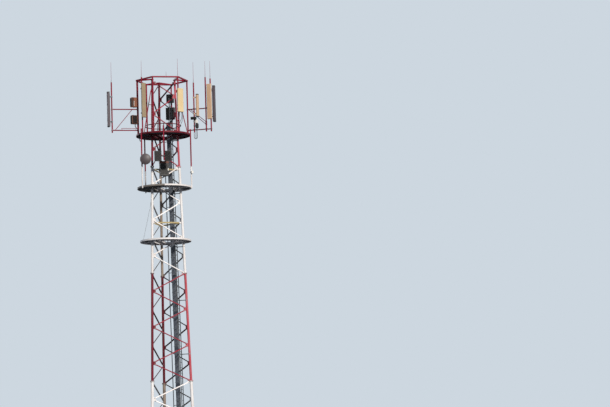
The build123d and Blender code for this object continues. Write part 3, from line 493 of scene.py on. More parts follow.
# The dish's dark grey is painted shade on its radome
painted_shade_dish_radome = make_coat("painted_shade_dish_glass_fibre", "#43393C", "#524749", 0.5, 8, 0.4)
white_housing = make_coat("white_powder_coat", "#F6F4EE", "#E8E4DA", 0.5, 5, 0.3)
dark_housing = make_coat("dark_powder_coat", "#2B2A2C", "#3B3836", 0.55, 5, 0.3)
brown_housing = make_coat("brown_powder_coat", "#804A32", "#925C42", 0.55, 5, 0.3)
rusty_housing = make_coat("rusty_powder_coat", "#5A3226", "#6E3E2C", 0.6, 5, 0.3)
cable_jacket = make_coat("black_polyethylene", "#1B1E22", "#2B3036", 0.42, 12, 0.3)
feeder_jacket = make_coat("grey_polyethylene", "#5C626C", "#6E747E", 0.45, 12, 0.3)

# %% [markdown]
# ## Which part takes which finish
# Each CAD node is one part of the tower in one finish, so a list of names under each
# finish says it all. A node's mesh keeps its shape and only swaps its material.

# %% The list of finishes
finishes = {}
for finish, names in (
    (dull_zinc, "base_plates climbing_ladder feeder_tray"),
    (dull_zinc, "deck_lower deck_middle deck_head"),
    (bright_zinc, "deck_stay"),
    (red_leg_enamel, "legs_band_1 legs_band_3 legs_band_5"),
    (white_leg_enamel, "legs_band_2 legs_band_4"),
    (red_bar_enamel, "bracing_band_1 bracing_band_3 bracing_band_5"),
    (white_bar_enamel, "bracing_band_2 bracing_band_4"),
    (cream_enamel, "girths"),
    (white_enamel, "platform_lower"),
    (grey_left_white_enamel, "platform_middle"),
    (painted_shade_red_enamel, "platform_head equipment_hoop right_outrigger"),
    (red_enamel, "crown_ring crown_posts platform_hangers left_outrigger"),
    (red_enamel, "aerial_pipes lightning_whips"),
    (banded_enamel, "outer_pipes"),
    (painted_shade_radome, "panel_left panel_right_outer"),
    (tan_radome, "panel_front_left"),
    (cream_radome, "panel_front_right"),
    (sand_radome, "panel_right_inner panel_right_middle"),
    (painted_shade_dish_radome, "microwave_dish"),
    (brown_housing, "radios_left"),
    (dark_housing, "radios_back radios_right radios_front equipment_box"),
    (white_housing, "junction_boxes"),
    (cable_jacket, "jumper_leads"),
    (feeder_jacket, "feeder_cables"),
):
    finishes.update(dict.fromkeys(names.split(), finish))
for name, node in nodes.items():
    node.data.materials.clear()
    node.data.materials.append(finishes[name])
print(len(finishes), "finishes given")

# %% [markdown]
# ## Small parts from Geometry Nodes
# The tower has hundreds of alike bolts, and each is set square to the steel under it.
# They could be copied one by one, but a Geometry Nodes tree puts one small shape on
# every point of a list, and its sizes stay open to change. The script writes the list
# as a mesh of loose points, and gives each point a "turn", the rotation that faces it
# the right way. At the end the result becomes a plain mesh, because the modifier has
# done its work.


# %% Starting and ending a tree
def start_tree(name, sizes):
    """A Geometry Nodes tree with named sizes in metres: the tree and its inputs."""
    tree = bpy.data.node_groups.new(name, "GeometryNodeTree")
    ends = tree.interface
    ends.new_socket("Geometry", in_out="INPUT", socket_type="NodeSocketGeometry")
    for label, value in sizes.items():
        kind = "NodeSocketInt" if isinstance(value, int) else "NodeSocketFloat"
        socket = ends.new_socket(label, in_out="INPUT", socket_type=kind)
        socket.default_value = value
    ends.new_socket("Geometry", in_out="OUTPUT", socket_type="NodeSocketGeometry")
    return tree, add_node(tree, "NodeGroupInput").outputs


def end_tree(tree, geometry, finish):
    """Make the instances real, keep their faces flat, and give them their finish."""
    real = add_node(tree, "GeometryNodeRealizeInstances", {0: geometry}).outputs[0]
    feeds = {0: real, "Shade Smooth": False}
    flat = add_node(tree, "GeometryNodeSetShadeSmooth", feeds).outputs[0]
    feeds = {0: flat, "Material": finish}
    coated = add_node(tree, "GeometryNodeSetMaterial", feeds)
    add_node(tree, "NodeGroupOutput", {0: coated.outputs[0]})


def end_planted(tree, given, shape, finish):
    """Put a shape on every seed point, turned as the point says, and end the tree."""
    kind = "GeometryNodeInputNamedAttribute"
    turn = add_node(tree, kind, {"Name": "turn"}, data_type="QUATERNION")
    feeds = {"Points": given["Geometry"], "Instance": shape.outputs[0]}
    feeds["Rotation"] = turn.outputs["Attribute"]
    planted = add_node(tree, "GeometryNodeInstanceOnPoints", feeds)
    end_tree(tree, planted.outputs[0], finish)
    return tree


# %% Running a tree on a list of places
def keep_piece(name, mesh):
    """A mesh as a piece of the tower: it rides on the one body."""
    piece = bpy.data.objects.new(name, mesh)
    scene.collection.objects.link(piece)
    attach(piece, "root")
    return piece


def run_tree(name, mesh, tree, sizes):
    """Run a tree on a mesh, and keep the result as a plain piece."""
    host = bpy.data.objects.new(name + "_host", mesh)
    scene.collection.objects.link(host)
    modifier = host.modifiers.new("tree", "NODES")
    modifier.node_group = tree
    for item in tree.interface.items_tree:
        if item.in_out == "INPUT" and item.name in sizes:
            modifier[item.identifier] = sizes[item.name]
    evaluated = host.evaluated_get(bpy.context.evaluated_depsgraph_get())
    grown = bpy.data.meshes.new_from_object(evaluated)
    bpy.data.objects.remove(host)
    print(name, "has", len(grown.polygons), "faces")
    return keep_piece(name, grown)


def spot(place, outward, along=(0, 0, 1)):
    """A frame at a place: Z outward, and X as near as it can be to along."""
    z_way = Vector(outward).normalized()
    x_way = Vector(along) - z_way * z_way.dot(Vector(along))
    x_way.normalize()
    turned = Matrix((x_way, z_way.cross(x_way), z_way)).transposed()
    return Matrix.Translation(place) @ turned.to_4x4()


def leg_spot(angle, level):
    """A frame on a leg's axis: Z up along the leg, and X away from the tower."""
    along = leg_point(angle, leg_top) - leg_point(angle, 0)
    return spot(leg_point(angle, level), along, direction(angle))


def plant(name, spots, tree, sizes=None):
    """Run a tree on loose points, one for each spot, with the spots' turns."""
    seeds = bpy.data.meshes.new(name + "_seeds")
    seeds.from_pydata([place.translation for place in spots], [], [])
    turns = seeds.attributes.new("turn", "QUATERNION", "POINT")
    for item, place in zip(turns.data, spots):
        item.value = place.to_quaternion()
    return run_tree(name, seeds, tree, sizes or {})


# %% [markdown]
# ## Bolts, nuts and studs
# A structural bolt shows a round washer, a hexagon on it and, on the nut's side, the
# end of the thread. All three are short prisms that stand on each other, so one tree
# adds up their heights. The same tree with other sizes makes the anchor studs in the
# feet and the coaxial connectors under the aerials, which are hexagons too.

# %% The bolt's tree
bolt_labels = [
    f"{part} {size}"
    for part in ("Washer", "Hexagon", "Thread")
    for size in ("width", "height")
]
bolt_sides = (12, 6, 8)


def bolt_sizes(*sizes):
    """The width and height of washer, hexagon and thread as the tree's inputs."""
    return dict(zip(bolt_labels, sizes))


def make_bolt_tree(name, finish):
    """A washer, a hexagon and a thread end on each seed point, along its Z."""
    usual = bolt_sizes(0.034, 0.004, 0.028, 0.012, 0.016, 0.008)
    tree, given = start_tree(name, usual)
    stack = add_node(tree, "GeometryNodeJoinGeometry")
    base = 0.0
    for sides, width, height in zip(bolt_sides, bolt_labels[::2], bolt_labels[1::2]):
        feeds = {0: given[width], 1: 0.5}
        radius = add_node(tree, "ShaderNodeMath", feeds, operation="MULTIPLY")
        feeds = {"Vertices": sides, "Radius": radius.outputs[0], "Depth": given[height]}
        prism = add_node(tree, "GeometryNodeMeshCylinder", feeds)
        feeds = {0: given[height], 1: 0.5, 2: base}
        middle = add_node(tree, "ShaderNodeMath", feeds, operation="MULTIPLY_ADD")
        feeds = {0: given[height], 1: base}
        base = add_node(tree, "ShaderNodeMath", feeds, operation="ADD").outputs[0]
        rise = add_node(tree, "ShaderNodeCombineXYZ", {"Z": middle.outputs[0]})
        feeds = {0: prism.outputs["Mesh"], "Translation": rise.outputs[0]}
        raised = add_node(tree, "GeometryNodeTransform", feeds)
        tree.links.new(raised.outputs[0], stack.inputs[0])
    return end_planted(tree, given, stack, finish)


bolt_tree = make_bolt_tree("hexagon_bolts", bright_zinc)
print(len(bolt_tree.nodes), "nodes in the bolt's tree")

# %% [markdown]
# ## Where the bracing is bolted
# Each diagonal is held by two bolts at each end, through the gusset plate on the leg.
# The heads are on the outside and the nuts inside. The girths have two bolts at each
# end as well.

# %% Bolts through the gussets and the tabs
gusset_half = 0.005
angle_plate = 0.006
girth_plate = 0.010
girth_levels = (20.85, 23.85)
diagonal_bolt_reaches = (0.138, 0.178)
girth_bolt_reaches = (0.133, 0.173)


def on_face(angle, side, level):
    """A leg's axis in a face's frame: side -1 is its first leg and 1 its second."""
    leg = angle if side < 0 else angle + 120
    return face_frame(angle).inverted() @ leg_point(leg, level)


def node_side(node):
    """Odd nodes are on a face's first leg and even nodes on its second."""
    return -1 if node % 2 else 1


bracing_heads = []
bracing_nuts = []


def bolt_through(face, place, outer, inner):
    """A head that far outside a place in a face's frame, and a nut that far inside."""
    # Up in the face's own frame is outward from the tower
    outward = face.col[2].xyz
    bracing_heads.append(spot(face @ (place + lift(outer)), outward))
    bracing_nuts.append(spot(face @ (place - lift(inner)), -outward))


for angle in leg_angles:
    face = face_frame(angle)
    for bar in range(len(node_levels) - 1):
        first, second = [
            on_face(angle, node_side(node), node_levels[node])
            for node in sorted((bar, bar + 1), key=node_side)
        ]
        run = (second - first) / (second - first).x
        for reach in diagonal_bolt_reaches:
            for place in (first + run * reach, second - run * reach):
                bolt_through(face, place, gusset_half + angle_plate, gusset_half)
    for level in girth_levels:
        for side in (-1, 1):
            for reach in girth_bolt_reaches:
                place = on_face(angle, side, level) - Vector((side * reach, 0, 0))
                bolt_through(face, place, gusset_half, gusset_half + girth_plate)

plant(
    "bracing_bolt_heads",
    bracing_heads,
    bolt_tree,
    {"Thread height": 0.001, "Thread width": 0.010},
)
plant("bracing_nuts", bracing_nuts, bolt_tree)
print(len(bracing_heads), "bolts hold the bracing")

# %% [markdown]
# ## Splices and feet
# The legs come in 6 m lengths that are bolted flange to flange, with twelve bolts
# round each joint. At the ground, four anchor bolts cast in the footing stand up
# through each base plate, each with a thick washer and a nut.

# %% Bolts round the flanges, and anchor bolts
splice_levels = (6, 12, 18, 24)
splice_overhang = 0.035
flange_thickness = 0.020
flange_bolt_count = 12
foot_half_spacing = 0.170
base_plate_thickness = 0.030

flange_heads = []
flange_nuts = []
for angle in leg_angles:
    for below, level in enumerate(splice_levels):
        circle = leg_diameters[below] / 2 + splice_overhang / 2
        joint = leg_spot(angle, level)
        up = joint.col[2].xyz
        for number in range(flange_bolt_count):
            # Half a pitch of turn keeps the bolts beside the gussets
            place = direction(360 * (number + 0.5) / flange_bolt_count) * circle
            for places, side in ((flange_heads, 1), (flange_nuts, -1)):
                seat = joint @ (place + lift(side * flange_thickness))
                places.append(spot(seat, side * up))
plant("flange_bolt_heads", flange_heads, bolt_tree)
plant("flange_nuts", flange_nuts, bolt_tree, {"Thread height": 0.014})

anchor_spots = [
    spot(leg_point(angle, base_plate_thickness) + shift, (0, 0, 1), (1, 0, 0))
    for angle in leg_angles
    for shift in [
        Vector((x_side * foot_half_spacing, y_side * foot_half_spacing, 0))
        for x_side in (-1, 1)
        for y_side in (-1, 1)
    ]
]
anchor_sizes = bolt_sizes(0.070, 0.008, 0.056, 0.026, 0.033, 0.045)
plant("anchor_nuts", anchor_spots, bolt_tree, anchor_sizes)
print(len(flange_heads), "flange bolts and", len(anchor_spots), "anchor bolts")

# %% [markdown]
# ## Open steel grating
# The platforms are floored with open grating: upright flat bars 40 mm apart, welded to
# cross rods, with a flat band round every edge. The CAD model has a plate there, for
# collisions. The grating takes its place in view. It starts with the deck's outline:
# the round rim, the rounded triangle where the bracing passes, and the part inside the
# tower, which goes round the climbing way.

# %% The outline of a deck
platforms = {"lower": (19.9, 1.43), "middle": (22.9, 1.52), "head": (25.88, 1.52)}
rim_width = 0.04
deck_thickness = 0.030
seat_gap = 0.0003
leg_gap = 0.07
hole_beyond_face = 0.10
inner_within_face = 0.045
hatch_edge = -0.16
hatch_half_width = 0.25
wing_reach = 0.2
hatch_turn = Matrix.Rotation(radians(leg_angles[1]), 3, "Z")
face_angles = (-90, 30, 150)


def hole_radius(level):
    """How far a deck stays from the axis where it passes a leg."""
    return face_width(level) / sqrt(3) + leg_diameter(level) / 2 + seat_gap + leg_gap


def inner_outline(level):
    """The corners of the deck inside the tower, round the climbing way."""
    apothem = face_width(level) / (2 * sqrt(3)) - inner_within_face
    corners = [
        (-apothem, -apothem * sqrt(3)),
        (wing_reach, (wing_reach - 2 * apothem) / sqrt(3)),
        (wing_reach, -hatch_half_width),
        (hatch_edge, -hatch_half_width),
        (hatch_edge, (2 * apothem - hatch_edge) / sqrt(3)),
        (-apothem, apothem * sqrt(3)),
    ]
    return [hatch_turn @ Vector((*corner, 0)) for corner in corners]


def hole_outline(level, steps=72):
    """Points round the rounded triangle that a deck leaves for the bracing."""
    apothem = face_width(level) / (2 * sqrt(3)) + hole_beyond_face
    points = []
    for step in range(steps):
        angle = 360 * step / steps
        beside = min(abs((angle - face + 180) % 360 - 180) for face in face_angles)
        reach = min(hole_radius(level), apothem / cos(radians(beside)))
        points.append(direction(angle) * reach)
    return points


print("the head deck's hole is", round(hole_radius(25.88), 3), "m to its corners")

# %% [markdown]
# ## Bars as edges
# A grating's bars differ only in where they start and end. So each is first drawn as
# one edge: a row of lines is laid across the deck, and each line is cut where it
# crosses an outline. A boolean cut of hundreds of solid bars would be slow and rough.

# %% Cutting the rows
shortest_bar = 0.01


def sides_of(outline):
    """Each point of a closed outline with the next one."""
    return zip(outline, outline[1:] + outline[:1])


def within(outline, x, y):
    """Whether a point lies inside an outline, by counting the sides it is left of."""
    inside = False
    for first, second in sides_of(outline):
        if (first.y > y) != (second.y > y):
            share = (y - first.y) / (second.y - first.y)
            if x < first.x + share * (second.x - first.x):
                inside = not inside
    return inside


def deck_edges(level, radius, pitch, turned):
    """Pairs of points at a pitch across a deck: bars along X or, turned, along Y."""
    rim = radius - rim_width - seat_gap
    hole, inner = hole_outline(level), inner_outline(level)
    points = []
    rows = int(rim / pitch)
    for row in range(-rows, rows + 1):
        offset = row * pitch
        crossings = [-sqrt(rim**2 - offset**2), sqrt(rim**2 - offset**2)]
        for first, second in [*sides_of(hole), *sides_of(inner)]:
            start, end = (first.xy, second.xy) if turned else (first.yx, second.yx)
            if (start[0] > offset) != (end[0] > offset):
                share = (offset - start[0]) / (end[0] - start[0])
                crossings.append(start[1] + (end[1] - start[1]) * share)
        crossings.sort()
        for near, far in zip(crossings, crossings[1:]):
            ends = [
                Vector((offset, value, 0) if turned else (value, offset, 0))
                for value in (near, far)
            ]
            x, y, _ = (ends[0] + ends[1]) / 2
            on_deck = not within(hole, x, y) or within(inner, x, y)
            if on_deck and far - near > shortest_bar:
                points += ends
    return points


def edge_mesh(name, centre, points, loops=()):
    """A mesh of separate edges, from pairs of points, and of closed loops."""
    edges = [(index, index + 1) for index in range(0, len(points), 2)]
    points = list(points)
    for loop in loops:
        start, count = len(points), len(loop)
        points += loop
        edges += [(start + step, start + (step + 1) % count) for step in range(count)]
    mesh = bpy.data.meshes.new(name)
    mesh.from_pydata([centre + point for point in points], edges, [])
    return mesh


# %% [markdown]
# ## A section for every edge
# A second tree turns each edge into a curve and sweeps a rectangle along it. Its
# upright normals keep every bar standing on its narrow side. The same tree makes the
# cross rods, and the bands along the outlines, which are closed loops of edges.


# %% The bar's tree
def make_bar_tree(name, finish):
    """A bar of rectangular section along every edge, upright, with closed ends."""
    tree, given = start_tree(name, {"Bar width": 0.005, "Bar height": 0.03})
    route = add_node(tree, "GeometryNodeMeshToCurve", {0: given["Geometry"]})
    feeds = {0: route.outputs[0]}
    upright = add_node(tree, "GeometryNodeSetCurveNormal", feeds, mode="Z_UP")
    feeds = {"Width": given["Bar width"], "Height": given["Bar height"]}
    section = add_node(tree, "GeometryNodeCurvePrimitiveQuadrilateral", feeds)
    feeds = {0: upright.outputs[0], "Profile Curve": section.outputs[0]}
    feeds["Fill Caps"] = True
    bars = add_node(tree, "GeometryNodeCurveToMesh", feeds)
    end_tree(tree, bars.outputs[0], finish)
    return tree


# %% The three gratings
bar_pitch = 0.04
bar_width = 0.005
rod_pitch = 0.1
rod_width = 0.008
rod_drop = 0.006
band_inset = 0.003
rim_steps = 96
grating_tree = make_bar_tree("grating_bars", dull_zinc)
for name, (level, radius) in platforms.items():
    rim = radius - rim_width - seat_gap - band_inset
    bands = [
        [direction(360 * step / rim_steps) * rim for step in range(rim_steps)],
        hole_outline(level),
        inner_outline(level),
    ]
    bars = deck_edges(level, radius, bar_pitch, False)
    centre = tower_axis + lift(level - deck_thickness / 2)
    floor_piece = run_tree(
        f"grating_{name}",
        edge_mesh(f"grating_{name}", centre, bars, bands),
        grating_tree,
        {"Bar width": bar_width, "Bar height": deck_thickness},
    )
    rods = deck_edges(level, radius, rod_pitch, True)
    centre = tower_axis + lift(level - rod_drop)
    run_tree(
        f"grating_rods_{name}",
        edge_mesh(f"grating_rods_{name}", centre, rods),
        grating_tree,
        {"Bar width": rod_width, "Bar height": rod_width},
    )
    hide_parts(f"deck_{name}")
print("gratings laid on", len(platforms), "platforms")

# %% [markdown]
# ## Where the pipes and posts stand
# The aerials, radio units and boxes hang on upright pipes and posts. Their clamps,
# connectors and end caps are placed from the same list of pipes, so it comes first.

# %% Posts and arms
post_radius = 1.419375
post_diameter = 0.0825
first_post_angle = -4.2
post_angles = [first_post_angle + 60 * corner for corner in range(6)]
posts = [at(post_radius, angle, 0) for angle in post_angles]
right_post, back_right_post, _, left_post, _, front_right_post = posts
# The way that each arm points, and how long it is
left_arm = (post_angles[3], 1.45)
right_arm = (-30, 1.367)
arm_levels = (26.13, 27.32)
print("the posts stand at", [round(angle, 1) for angle in post_angles], "degrees")

# %% Pipes
pipe_diameter = 0.0761
outer_pipe_radius = 1.55835
hoop_radius = 1.32293
pipe_beside_arm = 0.0732
arm_pipe_reaches = (0.404, 1.100)


def on_hoop(post, aside):
    """A place on the hoop's side that follows a post, aside of the side's middle."""
    angle = post_angles[post] + 30
    return at(hoop_radius, angle, 0) + direction(angle + 90) * aside


left_pipe = left_post + direction(left_arm[0]) * left_arm[1]
front_left_pipe = on_hoop(3, -0.17)
back_left_pipe = on_hoop(2, 0.39)
along_arm, beside_arm = direction(right_arm[0]), direction(right_arm[0] - 90)
right_pipes = [
    right_post + along_arm * reach + beside_arm * pipe_beside_arm
    for reach in arm_pipe_reaches
]
right_pipes.append(right_post + along_arm * right_arm[1])
front_pipe = at(outer_pipe_radius, -102.2, 0)
dish_pipe = at(outer_pipe_radius, -154.3, 0)
back_pipe = at(outer_pipe_radius, 119.7, 0)
right_outer_pipe = at(outer_pipe_radius, -24.9, 0)

# %% What hangs on them
# The angle is the way it faces, and the standoff runs from the pipe to its middle
Hung = namedtuple("Hung", "pipe diameter angle standoff width depth bottom top")
thick, thin = post_diameter, pipe_diameter
inner_pipe, _, outer_pipe = right_pipes
panels = {
    "left": Hung(left_pipe, thin, 175.8, 0.19, 0.30, 0.14, 26.34, 28.30),
    "front_left": Hung(front_left_pipe, thin, -80, 0.25, 0.26, 0.12, 26.76, 28.68),
    "front_right": Hung(front_right_post, thick, -67, 0.19, 0.38, 0.12, 26.96, 28.27),
    "right_inner": Hung(inner_pipe, thin, -45, 0.23, 0.17, 0.12, 26.85, 28.14),
    "right_middle": Hung(outer_pipe, thin, -128, 0.19, 0.28, 0.11, 26.68, 28.65),
    "right_outer": Hung(outer_pipe, thin, -22, 0.19, 0.28, 0.15, 26.54, 28.57),
}
boxes = {
    "left_upper": Hung(left_post, thick, -165, 0.225, 0.23, 0.34, 27.44, 27.97),
    "left_lower": Hung(left_post, thick, -165, 0.225, 0.23, 0.34, 26.48, 26.96),
    "back_upper": Hung(back_right_post, thick, -125, 0.19, 0.42, 0.16, 27.89, 28.37),
    "back_lower": Hung(back_right_post, thick, -125, 0.20, 0.50, 0.18, 26.93, 27.60),
    "right_upper": Hung(inner_pipe, thin, -120, 0.14, 0.32, 0.13, 26.70, 26.84),
    "right_lower": Hung(inner_pipe, thin, -40, 0.16, 0.17, 0.11, 26.22, 26.47),
    "front_left": Hung(front_pipe, thin, -192.2, 0.33, 0.20, 0.38, 24.17, 24.72),
    "front_right": Hung(front_pipe, thin, -12.2, 0.215, 0.20, 0.33, 24.17, 24.72),
    "junction_arm": Hung(inner_pipe, thin, -45, 0.14, 0.18, 0.10, 26.50, 26.69),
    "junction_low": Hung(right_outer_pipe, thin, -75, 0.095, 0.12, 0.09, 23.60, 23.74),
}
dish_level = 24.34
dish_facing = -102


def middle_of(box):
    """Where a hung box's middle line meets the ground."""
    return box.pipe + direction(box.angle) * box.standoff


print(len(panels), "panel aerials and", len(boxes), "boxes are on the pipes")

# %% [markdown]
# ## Cooling fins
# A radio unit has no fan. Its heat leaves through a comb of thin cast fins, which taper
# a little so that they come out of the mould. One fin on a row of points makes a comb,
# with a named input for each of its sizes, so the same tree serves every unit and the
# equipment box.

# %% The comb's tree
fin_depth = 0.022
fin_sizes = {
    "Fin count": 10,
    "Fin pitch": 0.018,
    "Fin thickness": 0.005,
    "Fin depth": fin_depth,
    "Fin height": 0.4,
}


def make_fin_tree(name, finish):
    """Upright fins side by side on each seed point, standing out along its Z."""
    tree, given = start_tree(name, fin_sizes)
    # The row is a pitch times one less than the count long, and starts half of it aside
    reach, pitch = given["Fin count"], given["Fin pitch"]
    for doing, value in (("ADD", -1), ("MULTIPLY", pitch), ("MULTIPLY", -0.5)):
        feeds = {0: reach, 1: value}
        reach = add_node(tree, "ShaderNodeMath", feeds, operation=doing).outputs[0]
    start = add_node(tree, "ShaderNodeCombineXYZ", {"Y": reach})
    step = add_node(tree, "ShaderNodeCombineXYZ", {"Y": pitch})
    feeds = {"Count": given["Fin count"], "Start Location": start.outputs[0]}
    feeds["Offset"] = step.outputs[0]
    row = add_node(tree, "GeometryNodeMeshLine", feeds)
    ways = {"X": "Fin height", "Y": "Fin thickness", "Z": "Fin depth"}
    feeds = {way: given[label] for way, label in ways.items()}
    size = add_node(tree, "ShaderNodeCombineXYZ", feeds)
    slab = add_node(tree, "GeometryNodeMeshCube", {"Size": size.outputs[0]})
    # The outer edge is narrowed to half, and its ends drawn in by a twentieth
    corner = add_node(tree, "GeometryNodeInputPosition").outputs[0]
    parts = add_node(tree, "ShaderNodeSeparateXYZ", {0: corner})
    feeds = {0: parts.outputs["Z"], 1: 0.0}
    outer = add_node(tree, "ShaderNodeMath", feeds, operation="GREATER_THAN")
    feeds = {0: corner, 1: (-0.05, -0.5, 0.0)}
    drawn_in = add_node(tree, "ShaderNodeVectorMath", feeds, operation="MULTIPLY")
    feeds = {"Geometry": slab.outputs["Mesh"], "Selection": outer.outputs[0]}
    feeds["Offset"] = drawn_in.outputs[0]
    fin = add_node(tree, "GeometryNodeSetPosition", feeds)
    feeds = {"Points": row.outputs[0], "Instance": fin.outputs[0]}
    comb = add_node(tree, "GeometryNodeInstanceOnPoints", feeds)
    return end_planted(tree, given, comb, finish)


# %% Combs on the radio units
fin_tree = make_fin_tree("cooling_fins", dark_housing)
fin_root = 0.002
fin_margin = 0.05
wide_pitch, narrow_pitch = 0.02, 0.014


def fin_spot(box, side):
    """The middle of a comb on a box's face: side 0 is its front, 90 its left side."""
    reach = box.depth / 2 if side == 0 else box.width / 2
    outward = direction(box.angle + side)
    place = middle_of(box) + lift((box.bottom + box.top) / 2)
    return spot(place + outward * (reach + fin_depth / 2 - fin_root), outward)


def comb_sizes(box, side, pitch):
    """How many fins fit on a box's face, and how tall they are."""
    room = (box.width if side == 0 else box.depth) - fin_margin
    return {
        "Fin count": int(room / pitch) + 1,
        "Fin pitch": pitch,
        "Fin height": box.top - box.bottom - fin_margin,
    }


fin_sides = {
    "back_upper": (0,),
    "back_lower": (0,),
    "right_upper": (0,),
    "right_lower": (0, 90),
    "front_left": (90, 0),
    "front_right": (-90, 0),
}
for name, sides in fin_sides.items():
    box, pitch = boxes[name], narrow_pitch if "right" in name else wide_pitch
    for side in sides:
        plant(
            f"fins_{name}_{'side' if side else 'front'}",
            [fin_spot(box, side)],
            fin_tree,
            comb_sizes(box, side, pitch),
        )

# %% [markdown]
# ## The left radio units
# The two units on the left post have a brown body and dark fins. The upper one shows
# its brown cover, with five fins along its open side and a pale strip beside them. The
# lower one is nearly all fins, under a rusty lid. A comb on each side shows the same
# thing from the front and from behind.

# %% Half combs on the sides
left_pitch = 0.016
left_margin = 0.03
for name, fin_count, share in (("left_upper", 5, 0.33), ("left_lower", 17, 0.05)):
    box = boxes[name]
    shift = Matrix.Translation(direction(box.angle) * (box.depth * share))
    plant(
        f"fins_{name}_side",
        [shift @ fin_spot(box, side) for side in (90, -90)],
        fin_tree,
        {
            "Fin count": fin_count,
            "Fin pitch": left_pitch,
            "Fin height": box.top - box.bottom - left_margin,
            "Fin thickness": 0.008,
        },
    )
    front_sizes = comb_sizes(box, 0, left_pitch)
    plant(f"fins_{name}_front", [fin_spot(box, 0)], fin_tree, front_sizes)

# %% Pale strips beside the fins
strip_forward = 0.045
strip_drop = 0.08
strip_tree = make_fin_tree("pale_strips", white_housing)
box = boxes["left_upper"]
shift = Matrix.Translation(direction(box.angle) * strip_forward - lift(strip_drop))
plant(
    "strips_left_upper",
    [shift @ fin_spot(box, side) for side in (90, -90)],
    strip_tree,
    {"Fin count": 1, "Fin height": 0.30, "Fin thickness": 0.036},
)

# %% [markdown]
# ## Connectors and boots
# Coaxial connectors stand in a row under each aerial and radio unit. Those with a lead
# have a rubber boot over them that keeps the rain out. The bolt's tree makes both,
# because they are a flange, a hexagon and a sleeve.

# %% Connectors under the aerials and boots on the leads
row_share = 0.62
three = (-0.06, 0.0, 0.06)


def under(box, offset):
    """A spot that looks down from the underside of a box or a panel."""
    place = middle_of(box) + direction(box.angle + 90) * offset + lift(box.bottom)
    return spot(place, (0, 0, -1), direction(box.angle))


connector_spots = []
for name, panel in panels.items():
    count = 4 if panel.width > 0.2 else 3
    offsets = [
        panel.width * row_share * (place / (count - 1) - 0.5) for place in range(count)
    ]
    if name == "front_right":
        offsets = (-0.025, 0.025)
    connector_spots += [under(panel, offset) for offset in offsets]
for name, offsets in {
    "back_upper": (-0.12, -0.04, 0.04, 0.12),
    "back_lower": (0.05,),
    "left_upper": three,
    "front_left": three,
    "front_right": three,
    "right_lower": (0.055,),
}.items():
    connector_spots += [under(boxes[name], offset) for offset in offsets]
connector_sizes = bolt_sizes(0.034, 0.004, 0.028, 0.014, 0.022, 0.018)
plant("connectors", connector_spots, bolt_tree, connector_sizes)

boot_tree = make_bolt_tree("connector_boots", cable_jacket)
boots = []
for box, offsets in (
    (panels["front_right"], (-0.130, -0.075, 0.075, 0.130)),
    (boxes["back_lower"], (-0.120, -0.020, 0.120)),
    (boxes["left_lower"], (0.090, 0.130)),
    (boxes["right_lower"], (-0.050, 0.010)),
):
    boots += [under(box, offset) for offset in offsets]
boot_sizes = bolt_sizes(0.040, 0.004, 0.036, 0.030, 0.029, 0.045)
plant("lead_boots", boots, boot_tree, boot_sizes)
print(len(connector_spots), "free connectors and", len(boots), "boots")

# %% [markdown]
# ## Clamp ears
# Every clamp is a collar in two halves, drawn together by two bolts on each side
# through a pair of ears. One small tree makes the two plates and their bolts. Thinner
# and wider, the same tree makes the hangers that hold the feeder cables.

# %% The tree for plates bolted together
ear_sizes = {
    "Plate length": 0.064,
    "Plate thickness": 0.007,
    "Plate width": 0.034,
    "Gap": 0.010,
    "Bolt width": 0.018,
    "Bolt length": 0.044,
    "Bolt along": 0.018,
    "Bolt across": 0.0,
}


def make_ear_tree(name, finish):
    """Two parallel plates on each seed point, with two bolts through them."""
    tree, given = start_tree(name, ear_sizes)
    join = add_node(tree, "GeometryNodeJoinGeometry")
    ways = {"X": "Plate length", "Y": "Plate thickness", "Z": "Plate width"}
    feeds = {way: given[label] for way, label in ways.items()}
    size = add_node(tree, "ShaderNodeCombineXYZ", feeds)
    plate = add_node(tree, "GeometryNodeMeshCube", {"Size": size.outputs[0]})
    feeds = {0: given["Gap"], 1: given["Plate thickness"]}
    room = add_node(tree, "ShaderNodeMath", feeds, operation="ADD").outputs[0]
    feeds = {0: given["Bolt width"], 1: 0.5}
    radius = add_node(tree, "ShaderNodeMath", feeds, operation="MULTIPLY").outputs[0]
    feeds = {"Vertices": 6, "Radius": radius, "Depth": given["Bolt length"]}
    bolt = add_node(tree, "GeometryNodeMeshCylinder", feeds)
    along, across = given["Bolt along"], given["Bolt across"]
    for side in (1, -1):
        # The plates stand half the room from the middle, and the bolts go through them
        for shape, turn, shifts in (
            (plate, 0, {"Y": (room, side / 2)}),
            (bolt, pi / 2, {"X": (along, side), "Z": (across, side)}),
        ):
            feeds = {}
            for way, (distance, share) in shifts.items():
                pair = {0: distance, 1: share}
                shift = add_node(tree, "ShaderNodeMath", pair, operation="MULTIPLY")
                feeds[way] = shift.outputs[0]
            seat = add_node(tree, "ShaderNodeCombineXYZ", feeds)
            feeds = {0: shape.outputs["Mesh"], "Translation": seat.outputs[0]}
            feeds["Rotation"] = (turn, 0, 0)
            placed = add_node(tree, "GeometryNodeTransform", feeds)
            tree.links.new(placed.outputs[0], join.inputs[0])
    return end_planted(tree, given, join, finish)


# %% Ears on every clamp
ear_tree = make_ear_tree("clamp_ears", bright_zinc)
collar_wall = 0.0103
ear_reach = 0.014
bracket_share = 0.14

